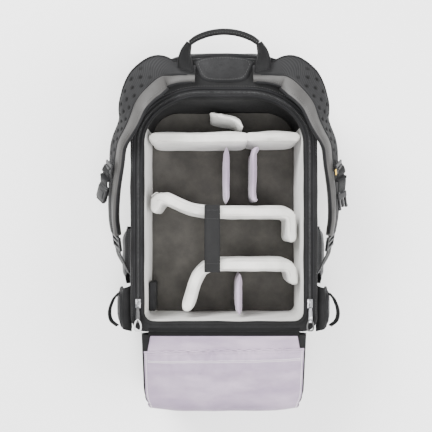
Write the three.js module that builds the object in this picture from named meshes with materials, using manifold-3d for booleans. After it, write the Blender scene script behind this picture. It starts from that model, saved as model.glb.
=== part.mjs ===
// A camera backpack, lying on its front with its padded back panel opened over the bottom end.
// Millimetres. +X is the width, +Y runs to the carry handle, +Z is up from the front panel.
import * as THREE from 'three';
import { mergeVertices } from 'three/addons/utils/BufferGeometryUtils.js';
import Module from 'manifold-3d';

const wasm = await Module();
wasm.setup();

// ---- driving dimensions ----
const RIM_WIDTH = 22; // opening's side to the rim's outer edge
const BOTTOM_Y = -165; // bottom end of the body, where the back panel hinges
const TOP_Y = 272; // top end of the body at the rim
const DEPTH = 230; // front face to the top of the rim
const FRONT_DEPTH = 57; // front compartment, zipped shut
const RIM_THICKNESS = 11;
const WALL = 13.7; // padded side wall
const SIDE_BULGE = 8;
const TOP_BULGE = 26;
const CORNER_RADIUS = 22; // bottom corners in plan
const SHOULDER_WIDTH = 110; // top corners in plan, an ellipse

const OPENING_HALF = 128;
const OPENING_BOTTOM = -150;
const OPENING_TOP = 208;
const OPENING_CORNER_WIDTH = 92;
const OPENING_CORNER_HEIGHT = 72;
const LINER_CORNER = [50, 45]; // the compartment's top corners, squarer than the opening's
const LINER = 7;
const GAP = 0.4; // clearance between pieces that touch

const LID_OVERLAP = 3; // lid past the opening's side
const LID_THICKNESS = 16;
const LID_FIRST = 130; // hinge to the first bend
const LID_FLOOR_GAP = 1.127; // folded-under panel above the floor
const LID_START = 9; // bare fabric between the hinge line and the first panel
const LID_OPEN_ANGLE = 200;
const LID_BENDS = [70, 90];
const LID_JOINT_GAP = 0.5;
const LID_TIP_MARGIN = 2.5; // free end inside the zip track
const POCKET_START = 34; // pocket mouth from the hinge
const POCKET_HEIGHT = 8.5;
const POCKET_SHEET = 1.8;
const POCKET_INSET = 7;
const BACK_PAD = 8;

const ZIP_OFFSET = 9; // middle of the zip track outside the opening
const ZIP_WIDTH = 7;
const ZIP_HEIGHT = 1.6;
const SLIDER = { width: 9, length: 15, height: 5 };
const PULL = { width: 7, length: 38, height: 2.2, lap: 2 };

const DIVIDER = 20; // grey padded divider
const SMALL_DIVIDER = 8; // lilac divider
const DIVIDER_DROP = 38; // divider tops below the rim
const STRAP_THICKNESS = 14;
const STRAP_HINGE_INSET = 71; // strap's fold line inside the rim's outer edge
const WEBBING = 2;
const WEBBING_HALF = 12.5;

const BLACK = 0x242426;
const GREY = 0xdcdad5;
const LILAC = 0xcbbfcd;
const TAUPE = 0x4a4742;
const PLASTIC = 0x1b1b1d;
const METAL = 0x8d8f92;

// ---- values worked out from them ----
const RIM_Z = DEPTH - RIM_THICKNESS;
const WALL_INNER = OPENING_HALF + LINER + GAP;
const WALL_OUTER = WALL_INNER + WALL;
const WALL_BOTTOM = FRONT_DEPTH + GAP;
const WALL_TOP = RIM_Z - GAP;
const FLOOR_TOP = WALL_BOTTOM + LINER;
const SIDE_TOP = OPENING_TOP - LINER_CORNER[1];
const SHOULDER = [SHOULDER_WIDTH, TOP_Y - SIDE_TOP];
const LID_HALF = OPENING_HALF + LID_OVERLAP;
const ZIP_X = OPENING_HALF + ZIP_OFFSET;
const HALF_WIDTH = OPENING_HALF + RIM_WIDTH;
const STRAP_HINGE_X = HALF_WIDTH - STRAP_HINGE_INSET;
const DIVIDER_TOP = DEPTH - DIVIDER_DROP;
const LID_SLOPE = THREE.MathUtils.degToRad(LID_OPEN_ANGLE - 180);
const LID_FOLD = LID_THICKNESS + GAP; // fold lines lie on the panel's outer face
const LID_DROP = LID_FIRST * Math.sin(LID_SLOPE) + LID_FOLD * Math.cos(LID_SLOPE);
const LID_SECOND = DEPTH - LID_DROP - LID_THICKNESS - LID_FLOOR_GAP;
const LID_TIP = OPENING_TOP + ZIP_OFFSET - ZIP_WIDTH / 2 - LID_TIP_MARGIN - BOTTOM_Y;
const LID_LENGTHS = [LID_FIRST, LID_SECOND, LID_TIP - LID_FIRST - LID_SECOND];

const group = new THREE.Group();

// ---- helpers ----
function add(parent, name, geometry, color, roughness = 0.85, metalness = 0) {
  const mesh = new THREE.Mesh(geometry, new THREE.MeshStandardMaterial({ color, roughness, metalness }));
  mesh.name = name;
  parent.add(mesh);
  return mesh;
}

function block(low, high) {
  const size = high.map((value, axis) => value - low[axis]);
  const geometry = new THREE.BoxGeometry(...size);
  geometry.translate(...low.map((value, axis) => value + size[axis] / 2));
  return geometry;
}

// A block whose X runs away from the middle on the left (-1) or the right (+1).
function sideBlock(side, low, high) {
  const xs = [side * low[0], side * high[0]];
  return block([Math.min(...xs), low[1], low[2]], [Math.max(...xs), high[1], high[2]]);
}

function slab(outline, bottom, top, hole) {
  const shape = new THREE.Shape(outline);
  if (hole) shape.holes.push(new THREE.Path(hole));
  const geometry = new THREE.ExtrudeGeometry(shape, { depth: top - bottom, bevelEnabled: false });
  geometry.translate(0, 0, bottom);
  return geometry;
}

function ellipseArc(centre, radii, from, to, steps = 8) {
  const start = THREE.MathUtils.degToRad(from);
  const sweep = THREE.MathUtils.degToRad(to - from);
  return Array.from({ length: steps + 1 }, (_, step) => {
    const angle = start + (sweep * step) / steps;
    return new THREE.Vector2(
      centre[0] + radii[0] * Math.cos(angle),
      centre[1] + radii[1] * Math.sin(angle)
    );
  });
}

// Both top corners, from the right side over the top to the left side.
function topArc(half, top, corner) {
  const centre = [half - corner[0], top - corner[1]];
  return [
    ...ellipseArc(centre, corner, 0, 90),
    ...ellipseArc([-centre[0], centre[1]], corner, 90, 180),
  ];
}

// A closed outline: round bottom corners, elliptical top corners.
function archedOutline(half, bottom, top, radius, corner) {
  const low = [half - radius, bottom + radius];
  return [
    ...ellipseArc(low, [radius, radius], -90, 0, 4),
    ...topArc(half, top, corner),
    ...ellipseArc([-low[0], low[1]], [radius, radius], 180, 270, 4),
  ];
}

function openingOutline(offset) {
  return archedOutline(
    OPENING_HALF + offset,
    OPENING_BOTTOM - offset,
    OPENING_TOP + offset,
    CORNER_RADIUS + offset,
    [OPENING_CORNER_WIDTH + offset, OPENING_CORNER_HEIGHT + offset]
  );
}

function signedVolume(points, index) {
  let volume = 0;
  for (let face = 0; face < index.length; face += 3) {
    const [a, b, c] = index.slice(face, face + 3).map((at) => points[at]);
    volume += a.dot(new THREE.Vector3().crossVectors(b, c));
  }
  return volume;
}

// A closed skin through rings of equal length. capFaces closes both ends.
function loft(rings, capFaces) {
  const count = rings[0].length;
  const last = (rings.length - 1) * count;
  const points = rings.flat();
  const index = [];
  for (let low = 0; low < last; low += count) {
    for (let at = 0; at < count; at += 1) {
      const next = (at + 1) % count;
      index.push(low + at, low + next, low + next + count);
      index.push(low + at, low + next + count, low + at + count);
    }
  }
  capFaces.forEach(([a, b, c]) => {
    index.push(a, c, b);
    index.push(last + a, last + b, last + c);
  });
  if (signedVolume(points, index) < 0) index.reverse();
  const geometry = new THREE.BufferGeometry().setFromPoints(points);
  geometry.setIndex(index);
  geometry.computeVertexNormals();
  return geometry;
}

function fan(count) {
  return Array.from({ length: count - 2 }, (_, at) => [0, at + 1, at + 2]);
}

// Flat outlines stacked at rising heights. Each outline runs anticlockwise.
function stack(levels) {
  const rings = levels.map(({ z, outline }) => outline.map((p) => new THREE.Vector3(p.x, p.y, z)));
  return loft(rings, THREE.ShapeUtils.triangulateShape(levels[0].outline, []));
}

function rectangle(x0, x1, y0, y1) {
  return [[x0, y0], [x1, y0], [x1, y1], [x0, y1]].map(([x, y]) => new THREE.Vector2(x, y));
}

// Swell from 0 at both ends of the walls' height to 1 half way.
function swell(z) {
  return Math.sin((Math.PI * (z - WALL_BOTTOM)) / (WALL_TOP - WALL_BOTTOM));
}

const WALL_LEVELS = [0, 0.25, 0.5, 0.75, 1].map((t) => WALL_BOTTOM + t * (WALL_TOP - WALL_BOTTOM));

// The frame of a padded strap at one station: x across, y back along it, z out of its face.
function stationFrame(side, station, tangent) {
  const along = tangent.clone().normalize();
  const level = new THREE.Vector3(-along.y, along.x, 0).normalize().multiplyScalar(side);
  const turn = -THREE.MathUtils.degToRad(station.lean) * side;
  const across = level.applyAxisAngle(along, turn);
  const out = new THREE.Vector3().crossVectors(across, along).multiplyScalar(side);
  return { across, along, out: out.z < 0 ? out.negate() : out };
}

// Stations of a strap or webbing are given for the right side; side -1 mirrors them.
function strapLoft(side, stations, thickness) {
  const centres = stations.map(({ at }) => new THREE.Vector3(side * at[0], at[1], at[2]));
  const curve = new THREE.CatmullRomCurve3(centres);
  const steps = (stations.length - 1) * 2;
  const rings = Array.from({ length: steps + 1 }, (_, step) => {
    const t = step / steps;
    const before = Math.min(Math.floor(t * (stations.length - 1)), stations.length - 2);
    const mix = t * (stations.length - 1) - before;
    const blend = (key) => THREE.MathUtils.lerp(stations[before][key], stations[before + 1][key], mix);
    const frame = stationFrame(side, { lean: blend('lean') }, curve.getTangent(t));
    const centre = curve.getPoint(t);
    const half = blend('half');
    const lift = thickness / 2;
    const soft = Math.min(lift * 0.6, half * 0.4);
    return [
      [half, -lift + soft], [half, lift - soft], [half - soft, lift], [-half + soft, lift],
      [-half, lift - soft], [-half, -lift + soft], [-half + soft, -lift], [half - soft, -lift],
    ].map(([wide, high]) => centre.clone()
      .addScaledVector(frame.across, wide)
      .addScaledVector(frame.out, high));
  });
  return loft(rings, fan(8));
}

function tube(points, radius, steps, sides = 8) {
  const curve = new THREE.CatmullRomCurve3(points.map((p) => new THREE.Vector3(...p)));
  const circle = new THREE.Shape(ellipseArc([0, 0], [radius, radius], 0, 360 - 360 / sides, sides - 1));
  return new THREE.ExtrudeGeometry(circle, { extrudePath: curve, steps, bevelEnabled: false });
}

function solid(geometry) {
  const bare = geometry.clone();
  bare.deleteAttribute('normal');
  bare.deleteAttribute('uv');
  const merged = mergeVertices(bare);
  const vertProperties = new Float32Array(merged.attributes.position.array);
  const triVerts = new Uint32Array(merged.index.array);
  return new wasm.Manifold(new wasm.Mesh({ numProp: 3, vertProperties, triVerts }));
}

function cut(geometry, tool) {
  const mesh = solid(geometry).subtract(solid(tool)).getMesh();
  const result = new THREE.BufferGeometry();
  result.setAttribute('position', new THREE.BufferAttribute(mesh.vertProperties, 3));
  result.setIndex(new THREE.BufferAttribute(mesh.triVerts, 1));
  result.computeVertexNormals();
  return result;
}

// ---- body ----
function frontPanel() {
  const at = (z, inset, top) => ({
    z,
    outline: archedOutline(WALL_OUTER - inset, BOTTOM_Y + inset, top - inset, CORNER_RADIUS, SHOULDER),
  });
  const top = TOP_Y + TOP_BULGE / 2;
  const layers = [at(0, 14, top), at(8, 4, top), at(22, 0, top), at(FRONT_DEPTH, 0, top)];
  add(group, 'front_panel', stack(layers), BLACK);
}

function sidePanel(side, name) {
  const levels = WALL_LEVELS.map((z) => {
    const xs = [side * WALL_INNER, side * (WALL_OUTER + SIDE_BULGE * swell(z))];
    return { z, outline: rectangle(Math.min(...xs), Math.max(...xs), BOTTOM_Y, SIDE_TOP - GAP) };
  });
  add(group, name, stack(levels), BLACK);
}

// The compartment's top corners, moved out by an offset.
function linerArc(offset) {
  const corner = LINER_CORNER.map((value) => value + offset);
  return topArc(OPENING_HALF + offset, OPENING_TOP + offset, corner);
}

function topHood() {
  const inner = linerArc(LINER + GAP).reverse();
  const levels = WALL_LEVELS.map((z) => {
    const half = WALL_OUTER + SIDE_BULGE * swell(z);
    const crown = TOP_Y + TOP_BULGE * Math.max(swell(z), (WALL_TOP - z) / (2 * WALL_TOP));
    return { z, outline: [...topArc(half, crown, [SHOULDER_WIDTH, crown - SIDE_TOP]), ...inner] };
  });
  add(group, 'top_hood', stack(levels), BLACK);
}

function bottomPanel() {
  const low = [-WALL_INNER + GAP, BOTTOM_Y, WALL_BOTTOM];
  add(group, 'bottom_panel', block(low, [WALL_INNER - GAP, OPENING_BOTTOM - LINER - GAP, WALL_TOP]), BLACK);
}

function rim() {
  const outer = archedOutline(HALF_WIDTH, BOTTOM_Y, TOP_Y, CORNER_RADIUS, SHOULDER);
  add(group, 'rim_frame', slab(outer, RIM_Z, DEPTH, openingOutline(0)), BLACK);
}

// The coil track runs up one side of the rim, over the top and down the other side.
function zipTrack() {
  const arc = (offset) => topArc(
    OPENING_HALF + offset,
    OPENING_TOP + offset,
    [OPENING_CORNER_WIDTH + offset, OPENING_CORNER_HEIGHT + offset]
  );
  const ends = (offset) => ({ x: OPENING_HALF + offset, y: OPENING_BOTTOM + CORNER_RADIUS });
  const outer = ends(ZIP_OFFSET + ZIP_WIDTH / 2);
  const inner = ends(ZIP_OFFSET - ZIP_WIDTH / 2);
  const outline = [
    new THREE.Vector2(outer.x, outer.y),
    ...arc(ZIP_OFFSET + ZIP_WIDTH / 2),
    new THREE.Vector2(-outer.x, outer.y),
    new THREE.Vector2(-inner.x, inner.y),
    ...arc(ZIP_OFFSET - ZIP_WIDTH / 2).reverse(),
    new THREE.Vector2(inner.x, inner.y),
  ];
  add(group, 'zip_track', slab(outline, DEPTH + GAP, DEPTH + GAP + ZIP_HEIGHT), PLASTIC, 0.5);
}

function yoke() {
  const outline = [[-27, 236], [27, 236], [43, 252], [43, 270], [-43, 270], [-43, 252]];
  const points = outline.map(([x, y]) => new THREE.Vector2(x, y));
  add(group, 'yoke_panel', slab(points, DEPTH + GAP, DEPTH + 8), BLACK);
}

// ---- liner ----
function liner() {
  [[-1, 'liner_left'], [1, 'liner_right']].forEach(([side, name]) => {
    const low = [OPENING_HALF, OPENING_BOTTOM, FLOOR_TOP + GAP];
    add(group, name, sideBlock(side, low, [OPENING_HALF + LINER, SIDE_TOP - GAP, WALL_TOP]), GREY);
  });
  const outline = [...linerArc(LINER), ...linerArc(0).reverse()];
  add(group, 'liner_hood', slab(outline, FLOOR_TOP + GAP, WALL_TOP), GREY);
  const low = [-OPENING_HALF + GAP, OPENING_BOTTOM - LINER, FLOOR_TOP + GAP];
  add(group, 'liner_bottom', block(low, [OPENING_HALF - GAP, OPENING_BOTTOM - GAP, WALL_TOP]), GREY);
  const floor = archedOutline(
    OPENING_HALF + LINER, OPENING_BOTTOM - LINER, OPENING_TOP + LINER, GAP,
    LINER_CORNER.map((value) => value + LINER)
  );
  add(group, 'liner_floor', slab(floor, WALL_BOTTOM, FLOOR_TOP), TAUPE);
  const pouch = [[-OPENING_HALF + GAP, -142, FLOOR_TOP + 40], [-OPENING_HALF + 12, -92, DIVIDER_TOP - 42]];
  add(group, 'wall_pouch', block(...pouch), TAUPE);
}

// ---- dividers ----
function dividerSlab(name, outline, color, top = DIVIDER_TOP) {
  const points = outline.map(([x, y]) => new THREE.Vector2(x, y));
  return add(group, name, slab(points, FLOOR_TOP + GAP, top), color);
}

// A padded wall that follows a line of plan points, from floor to top.
function dividerAlong(name, line, thickness, color, top = DIVIDER_TOP) {
  const points = line.map(([x, y]) => new THREE.Vector2(x, y));
  const offset = (at, amount) => {
    const before = points[Math.max(at - 1, 0)];
    const after = points[Math.min(at + 1, points.length - 1)];
    const inward = points[at].clone().sub(before).normalize();
    const outward = after.clone().sub(points[at]).normalize();
    const along = inward.add(outward).normalize();
    const widen = at > 0 && at < points.length - 1
      ? 1 / Math.max(along.dot(after.clone().sub(points[at]).normalize()), 0.5)
      : 1;
    return new THREE.Vector2(points[at].x - along.y * amount * widen, points[at].y + along.x * amount * widen);
  };
  const left = points.map((_, at) => offset(at, thickness / 2));
  const right = points.map((_, at) => offset(at, -thickness / 2));
  return add(group, name, slab([...left, ...right.reverse()], FLOOR_TOP + GAP, top), color);
}

function dividers() {
  const wall = OPENING_HALF - 6.5; // clears the rim's round corner when lifted
  const overlapX = 40; // where the upper divider's two lengths lap
  const upper = 150;
  const middleRow = 27; // centre line of the middle divider's straight run
  const lowerRow = -62; // centre line of the lower divider's straight run
  const side = OPENING_HALF - DIVIDER / 2 - 1.5; // a wall that stands along the liner
  dividerAlong('upper_divider_left', [[-wall, upper], [overlapX, upper]], DIVIDER, GREY);
  dividerAlong('upper_divider_right', [[overlapX + 1, upper + 1], [wall, upper + 1]], DIVIDER, GREY);
  dividerAlong('top_divider', [[-26, 191], [27, 182], [30, upper + DIVIDER / 2 + 2]], SMALL_DIVIDER, GREY);
  dividerAlong('middle_divider',
    [
      [-side, 34], [-side + 3, 60], [-50, middleRow], [side - 9.5, middleRow], [side, 20], [side, -20]
    ], DIVIDER, GREY);
  dividerAlong('lower_divider',
    [[-62, -138], [-40, lowerRow], [side - 8, lowerRow + 1], [side, -70], [side, -94]], DIVIDER, GREY);
  const rowTop = upper - DIVIDER / 2 - 1;
  const rowBottom = middleRow + DIVIDER / 2 + 1;
  dividerAlong('lilac_divider_left', [[5, rowBottom], [5, rowTop]], SMALL_DIVIDER, LILAC);
  dividerAlong('lilac_divider_right',
    [[62, rowTop - 5], [50, rowTop - 5], [48, rowBottom + 5], [60, rowBottom + 5]], SMALL_DIVIDER, LILAC);
  const foot = [[26, OPENING_BOTTOM + 1], [26, lowerRow - DIVIDER / 2 - 1]];
  dividerAlong('lilac_divider_lower', foot, SMALL_DIVIDER, LILAC);
  const strapReach = DIVIDER / 2 + 2; // the strap ends past both dividers' far faces, so it folds back clear
  const strapBase = DIVIDER_TOP + GAP;
  const strap = [[-32, lowerRow - strapReach, strapBase], [-6, middleRow + strapReach, strapBase + WEBBING]];
  add(group, 'retaining_strap', block(...strap), BLACK);
}

// ---- back panel ----
// A stretch of the closed back panel: straight sides, then the elliptical top corners.
function lidOutline(low, high, tip, corner) {
  const cornerStart = tip - corner[1];
  const halfAt = (y) => {
    const rise = Math.max(0, y - cornerStart) / corner[1];
    return LID_HALF - corner[0] + corner[0] * Math.sqrt(1 - Math.min(rise, 1) ** 2);
  };
  const bend = Math.max(low, Math.min(cornerStart, high));
  const steps = high > bend ? 8 : 0;
  const ys = [low, ...Array.from({ length: steps }, (_, step) => {
    const turn = (Math.PI / 2) * ((step + 1) / steps);
    const reach = Math.asin(Math.min((high - cornerStart) / corner[1], 1)) / (Math.PI / 2);
    const start = Math.asin(Math.max((bend - cornerStart) / corner[1], 0)) / (Math.PI / 2);
    return cornerStart + corner[1] * Math.sin(turn * (reach - start) + start * (Math.PI / 2));
  })];
  if (!steps) ys.push(high);
  const right = ys.map((y) => new THREE.Vector2(halfAt(y), y));
  return [...right, ...right.map((p) => new THREE.Vector2(-p.x, p.y)).reverse()];
}

// Built flat as if closed, y from the hinge and z out of the bag, then turned open about each bend.
function lid() {
  const starts = LID_LENGTHS.map((_, at) => LID_LENGTHS.slice(0, at).reduce((sum, length) => sum + length, 0));
  const corner = [OPENING_CORNER_WIDTH + LID_OVERLAP, OPENING_CORNER_HEIGHT + LID_OVERLAP];
  let parent = group;
  let pivot = new THREE.Vector3(0, BOTTOM_Y, DEPTH);
  ['first', 'second', 'third'].forEach((word, at) => {
    const low = starts[at] + (at === 0 ? LID_START : LID_JOINT_GAP);
    const high = starts[at] + LID_LENGTHS[at] - (at < 2 ? LID_JOINT_GAP : 0);
    const hinge = new THREE.Group();
    hinge.position.copy(pivot);
    hinge.rotation.x = THREE.MathUtils.degToRad(at === 0 ? LID_OPEN_ANGLE : LID_BENDS[at - 1]);
    parent.add(hinge);
    const inner = new THREE.Group();
    const origin = at === 0 ? new THREE.Vector3(0, 0, 0) : new THREE.Vector3(0, starts[at], LID_FOLD);
    inner.position.copy(origin.clone().negate());
    hinge.add(inner);
    const outline = lidOutline(low, high, LID_TIP, corner);
    add(inner, `lid_${word}_panel`, slab(outline, GAP, LID_FOLD), LILAC);
    const margin = BACK_PAD + 6;
    const padHalf = LID_HALF - (at < 2 ? 24 : 66);
    const padBottom = LID_THICKNESS + 2 * GAP;
    const pad = [[-padHalf, low + margin, padBottom], [padHalf, high - margin, padBottom + BACK_PAD]];
    add(inner, `back_pad_${word}`, block(...pad), BLACK);
    if (at < 2) {
      const pocketLow = at === 0 ? POCKET_START : low;
      add(inner, `lid_pocket_${word}`, pocketChannel(pocketLow, high), LILAC);
    }
    parent = inner;
    pivot = new THREE.Vector3(0, starts[at] + LID_LENGTHS[at], LID_FOLD);
  });
}

// A raised sheet with two closed sides, open at the mouth.
function pocketChannel(low, high) {
  const half = LID_HALF - POCKET_INSET;
  const inner = half - POCKET_SHEET;
  const outline = [
    [-half, -POCKET_HEIGHT], [half, -POCKET_HEIGHT], [half, 0], [inner, 0],
    [inner, POCKET_SHEET - POCKET_HEIGHT], [-inner, POCKET_SHEET - POCKET_HEIGHT], [-inner, 0], [-half, 0],
  ].map(([x, y]) => new THREE.Vector2(x, y));
  const geometry = slab(outline, 0, high - low);
  geometry.rotateX(Math.PI / 2);
  geometry.translate(0, high, 0);
  return geometry;
}

// ---- zip sliders and their pulls ----
function zipSlider(side, word) {
  const y = OPENING_BOTTOM + CORNER_RADIUS;
  const bottom = DEPTH + GAP + ZIP_HEIGHT + GAP;
  const x = [ZIP_X - SLIDER.width / 2, ZIP_X + SLIDER.width / 2];
  const low = [x[0], y, bottom];
  const high = [x[1], y + SLIDER.length, bottom + SLIDER.height];
  add(group, `zip_slider_${word}`, sideBlock(side, low, high), METAL, 0.35, 0.9);
  const pull = [ZIP_X - PULL.width / 2, y + PULL.lap - PULL.length, bottom + SLIDER.height + GAP];
  const pullHigh = [pull[0] + PULL.width, y + PULL.lap, pull[2] + PULL.height];
  add(group, `zip_pull_${word}`, sideBlock(side, pull, pullHigh), BLACK);
}

// ---- carry handle ----
function handle() {
  const level = DEPTH + 20;
  const grip = [
    [-53, 293, level], [-30, 304, level + 0.5], [0, 309, level + 1], [30, 304, level + 0.5], [53, 293, level]
  ];
  add(group, 'handle_grip', tube(grip, 4.6, 20, 10), BLACK);
  [[-1, 'left'], [1, 'right']].forEach(([side, word]) => {
    const stations = [
      { at: [59, 250, level - 1], half: 13, lean: 0 },
      { at: [60, 268, level], half: 13, lean: 12 },
      { at: [58, 287, level], half: 7, lean: 55 },
    ];
    add(group, `handle_leg_${word}`, strapLoft(side, stations, WEBBING), BLACK);
  });
}

// ---- shoulder straps ----
// Places beside the rim: out from its outer edge, along the bag, up from its top.
function fromRim(outward, y, up) {
  return [HALF_WIDTH + outward, y, DEPTH + up];
}

const PAD_STATIONS = [
  { at: fromRim(-69, 246, 9), half: 17, lean: 0 },
  { at: fromRim(-48, 244, 16), half: 29, lean: 6 },
  { at: fromRim(-27, 226, 20), half: 33, lean: 18 },
  { at: fromRim(-9, 198, 20), half: 32, lean: 38 },
  { at: fromRim(2, 166, 11), half: 29, lean: 50 },
  { at: fromRim(18, 135, -6), half: 26, lean: 56 },
  { at: fromRim(25, 100, -23), half: 24, lean: 58 },
  { at: fromRim(31, 60, -42), half: 22, lean: 64 },
  { at: fromRim(34, 20, -60), half: 19, lean: 66 },
  { at: fromRim(32, -8, -72), half: 15, lean: 66 },
];
const LOWER_STATIONS = [
  { at: fromRim(30, -40, -84), half: WEBBING_HALF, lean: 66 },
  { at: fromRim(25, -54, -89), half: WEBBING_HALF, lean: 70 },
  { at: fromRim(16, -72, -91), half: WEBBING_HALF, lean: 78 },
];

// A group whose X is across the strap away from the middle, Y back to the yoke and Z out of the face.
function onStrap(side, at) {
  const station = PAD_STATIONS[at];
  const [before, after] = [PAD_STATIONS[at - 1].at, PAD_STATIONS[at + 1].at];
  const tangent = new THREE.Vector3(side * (after[0] - before[0]), after[1] - before[1], after[2] - before[2]);
  const { along, out } = stationFrame(side, station, tangent);
  const back = along.clone().negate();
  const across = new THREE.Vector3().crossVectors(back, out);
  const holder = new THREE.Group();
  holder.applyMatrix4(new THREE.Matrix4().makeBasis(across, back, out));
  holder.position.set(side * station.at[0], station.at[1], station.at[2]);
  group.add(holder);
  return holder;
}

function shoulderStrap(side, word) {
  const root = [46, 230, DEPTH + GAP];
  add(group, `strap_root_${word}`, sideBlock(side, root, [STRAP_HINGE_X - 2, 262, DEPTH + 16]), BLACK);
  add(group, `shoulder_pad_${word}`, strapLoft(side, PAD_STATIONS, STRAP_THICKNESS), BLACK);
  const buckle = [
    { at: fromRim(31.5, -12, -73.5), half: 16, lean: 66 },
    { at: fromRim(31, -25, -78), half: 16, lean: 66 },
    { at: fromRim(30.4, -36, -82), half: 15, lean: 66 },
  ];
  add(group, `strap_adjuster_${word}`, strapLoft(side, buckle, 6), PLASTIC, 0.5);
  add(group, `lower_webbing_${word}`, strapLoft(side, LOWER_STATIONS, WEBBING), BLACK);
}

// ---- chest strap halves ----
const PAD_FACE = STRAP_THICKNESS / 2;

function chestStrapLeft() {
  const holder = onStrap(-1, 6);
  add(holder, 'chest_clip_left', block([-13, -6, PAD_FACE + 3], [13, 6, PAD_FACE + 9]), PLASTIC, 0.5);
  const webbing = [[-22, -34, PAD_FACE + 4], [3, -7, PAD_FACE + 7]];
  add(holder, 'chest_webbing_left', block(...webbing), BLACK);
  add(holder, 'buckle_socket', block([-25, -68, PAD_FACE + 4], [5, -34.5, PAD_FACE + 13]), PLASTIC, 0.45);
}

function chestStrapRight() {
  const holder = onStrap(1, 6);
  add(holder, 'chest_clip_right', block([-13, -6, PAD_FACE + 3], [13, 6, PAD_FACE + 9]), PLASTIC, 0.5);
  add(holder, 'chest_webbing_right', block([-12, -42, PAD_FACE + 4], [13, -7, PAD_FACE + 7]), BLACK);
  add(holder, 'buckle_prong', block([-13, -74, PAD_FACE + 4], [14, -42.5, PAD_FACE + 9]), PLASTIC, 0.45);
}

// ---- hip wings ----
function hipWing(side, word) {
  const stations = [
    { at: fromRim(14, -131, -17), half: 34, lean: 0 },
    { at: fromRim(19, -131, -55), half: 36, lean: 0 },
    { at: fromRim(26, -134, -100), half: 28, lean: 0 },
    { at: fromRim(32, -137, -138), half: 17, lean: 0 },
  ];
  const thickness = 10;
  const rings = stations.map(({ at, half }) => rectangle(-thickness / 2, thickness / 2, -half, half)
    .map((p) => new THREE.Vector3(side * (at[0] + p.x), at[1] + p.y, at[2])));
  add(group, `hip_wing_${word}`, loft(rings, fan(4)), BLACK);
  const [x, , z] = stations.at(-1).at;
  const webbing = [[x - WEBBING / 2, -149, z - 52], [x + WEBBING / 2, -125, z - 1]];
  add(group, `hip_webbing_${word}`, sideBlock(side, ...webbing), BLACK);
}

// ---- side pockets, open towards the handle ----
const POCKET = { reach: 22, bottom: -92, mouth: 0, low: 60, high: DEPTH - 110, skin: 2.5 };

function sidePocket(side, word) {
  const { reach, bottom, mouth, low, high, skin } = POCKET;
  const wall = WALL_OUTER + SIDE_BULGE + GAP;
  const outer = sideBlock(side, [wall, bottom, low], [wall + reach, mouth, high]);
  const hollow = [[wall + skin, bottom + skin, low + skin], [wall + reach - skin, mouth + skin, high - skin]];
  add(group, `side_pocket_${word}`, cut(outer, sideBlock(side, ...hollow)), BLACK);
}

// ---- the whole bag ----
frontPanel();
sidePanel(-1, 'side_panel_left');
sidePanel(1, 'side_panel_right');
topHood();
bottomPanel();
rim();
zipTrack();
yoke();
liner();
dividers();
lid();
handle();
[[-1, 'left'], [1, 'right']].forEach(([side, word]) => {
  zipSlider(side, word);
  shoulderStrap(side, word);
  hipWing(side, word);
  sidePocket(side, word);
});
chestStrapLeft();
chestStrapRight();

export default group;
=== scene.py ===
"""Looks of a rear-opening camera backpack that lies on its front with its padded back panel open."""
import math

import bmesh
import bpy
import numpy as np
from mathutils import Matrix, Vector, noise


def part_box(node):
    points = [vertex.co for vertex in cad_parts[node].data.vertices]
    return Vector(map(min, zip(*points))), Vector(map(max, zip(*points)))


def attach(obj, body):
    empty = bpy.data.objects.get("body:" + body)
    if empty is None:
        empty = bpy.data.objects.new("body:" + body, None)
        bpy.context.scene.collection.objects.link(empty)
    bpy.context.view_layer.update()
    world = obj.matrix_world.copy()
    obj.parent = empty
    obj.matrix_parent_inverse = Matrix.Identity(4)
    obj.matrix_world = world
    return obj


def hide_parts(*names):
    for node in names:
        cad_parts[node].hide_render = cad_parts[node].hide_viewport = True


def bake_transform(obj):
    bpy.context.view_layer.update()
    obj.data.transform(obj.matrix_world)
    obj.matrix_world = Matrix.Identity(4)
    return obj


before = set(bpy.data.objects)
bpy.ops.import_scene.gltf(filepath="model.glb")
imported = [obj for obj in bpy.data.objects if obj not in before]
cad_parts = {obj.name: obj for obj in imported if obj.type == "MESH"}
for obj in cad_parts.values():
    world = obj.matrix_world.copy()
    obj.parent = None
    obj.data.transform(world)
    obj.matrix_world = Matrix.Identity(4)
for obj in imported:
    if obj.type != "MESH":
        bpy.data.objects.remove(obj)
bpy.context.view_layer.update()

MM = 0.001


# ---- places taken from the frame ----
def corner(node, end, axis):
    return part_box(node)[end]["xyz".index(axis)]


RIM_TOP = corner("rim_frame", 1, "z")
RIM_LOW = corner("rim_frame", 0, "z")
BOTTOM_Y = corner("rim_frame", 0, "y")
RIM_HALF = corner("rim_frame", 1, "x")
RIM_END = corner("rim_frame", 1, "y")
OPENING_HALF = corner("liner_right", 0, "x")
OPENING_BOTTOM = corner("liner_right", 0, "y")
OPENING_TOP = corner("liner_hood", 1, "y") - 7 * MM
FLOOR_TOP = corner("liner_floor", 1, "z")
FRONT_TOP = corner("front_panel", 1, "z")
DIVIDER_TOP = corner("middle_divider", 1, "z")
OPENING_CORNER = (92 * MM, 72 * MM)
BOTTOM_RADIUS = 22 * MM


# ---- camera, floor and light ----
def camera():
    data = bpy.data.cameras.new("camera")
    height = 1.2
    view_width = 0.691
    data.sensor_width = 36
    data.lens = 36 * height / view_width
    data.shift_y = 0.0278
    data.clip_start = 0.05
    obj = bpy.data.objects.new("camera", data)
    obj.location = (-12.8 * MM, 0, RIM_TOP + height)
    bpy.context.collection.objects.link(obj)
    bpy.context.scene.camera = obj


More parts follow.
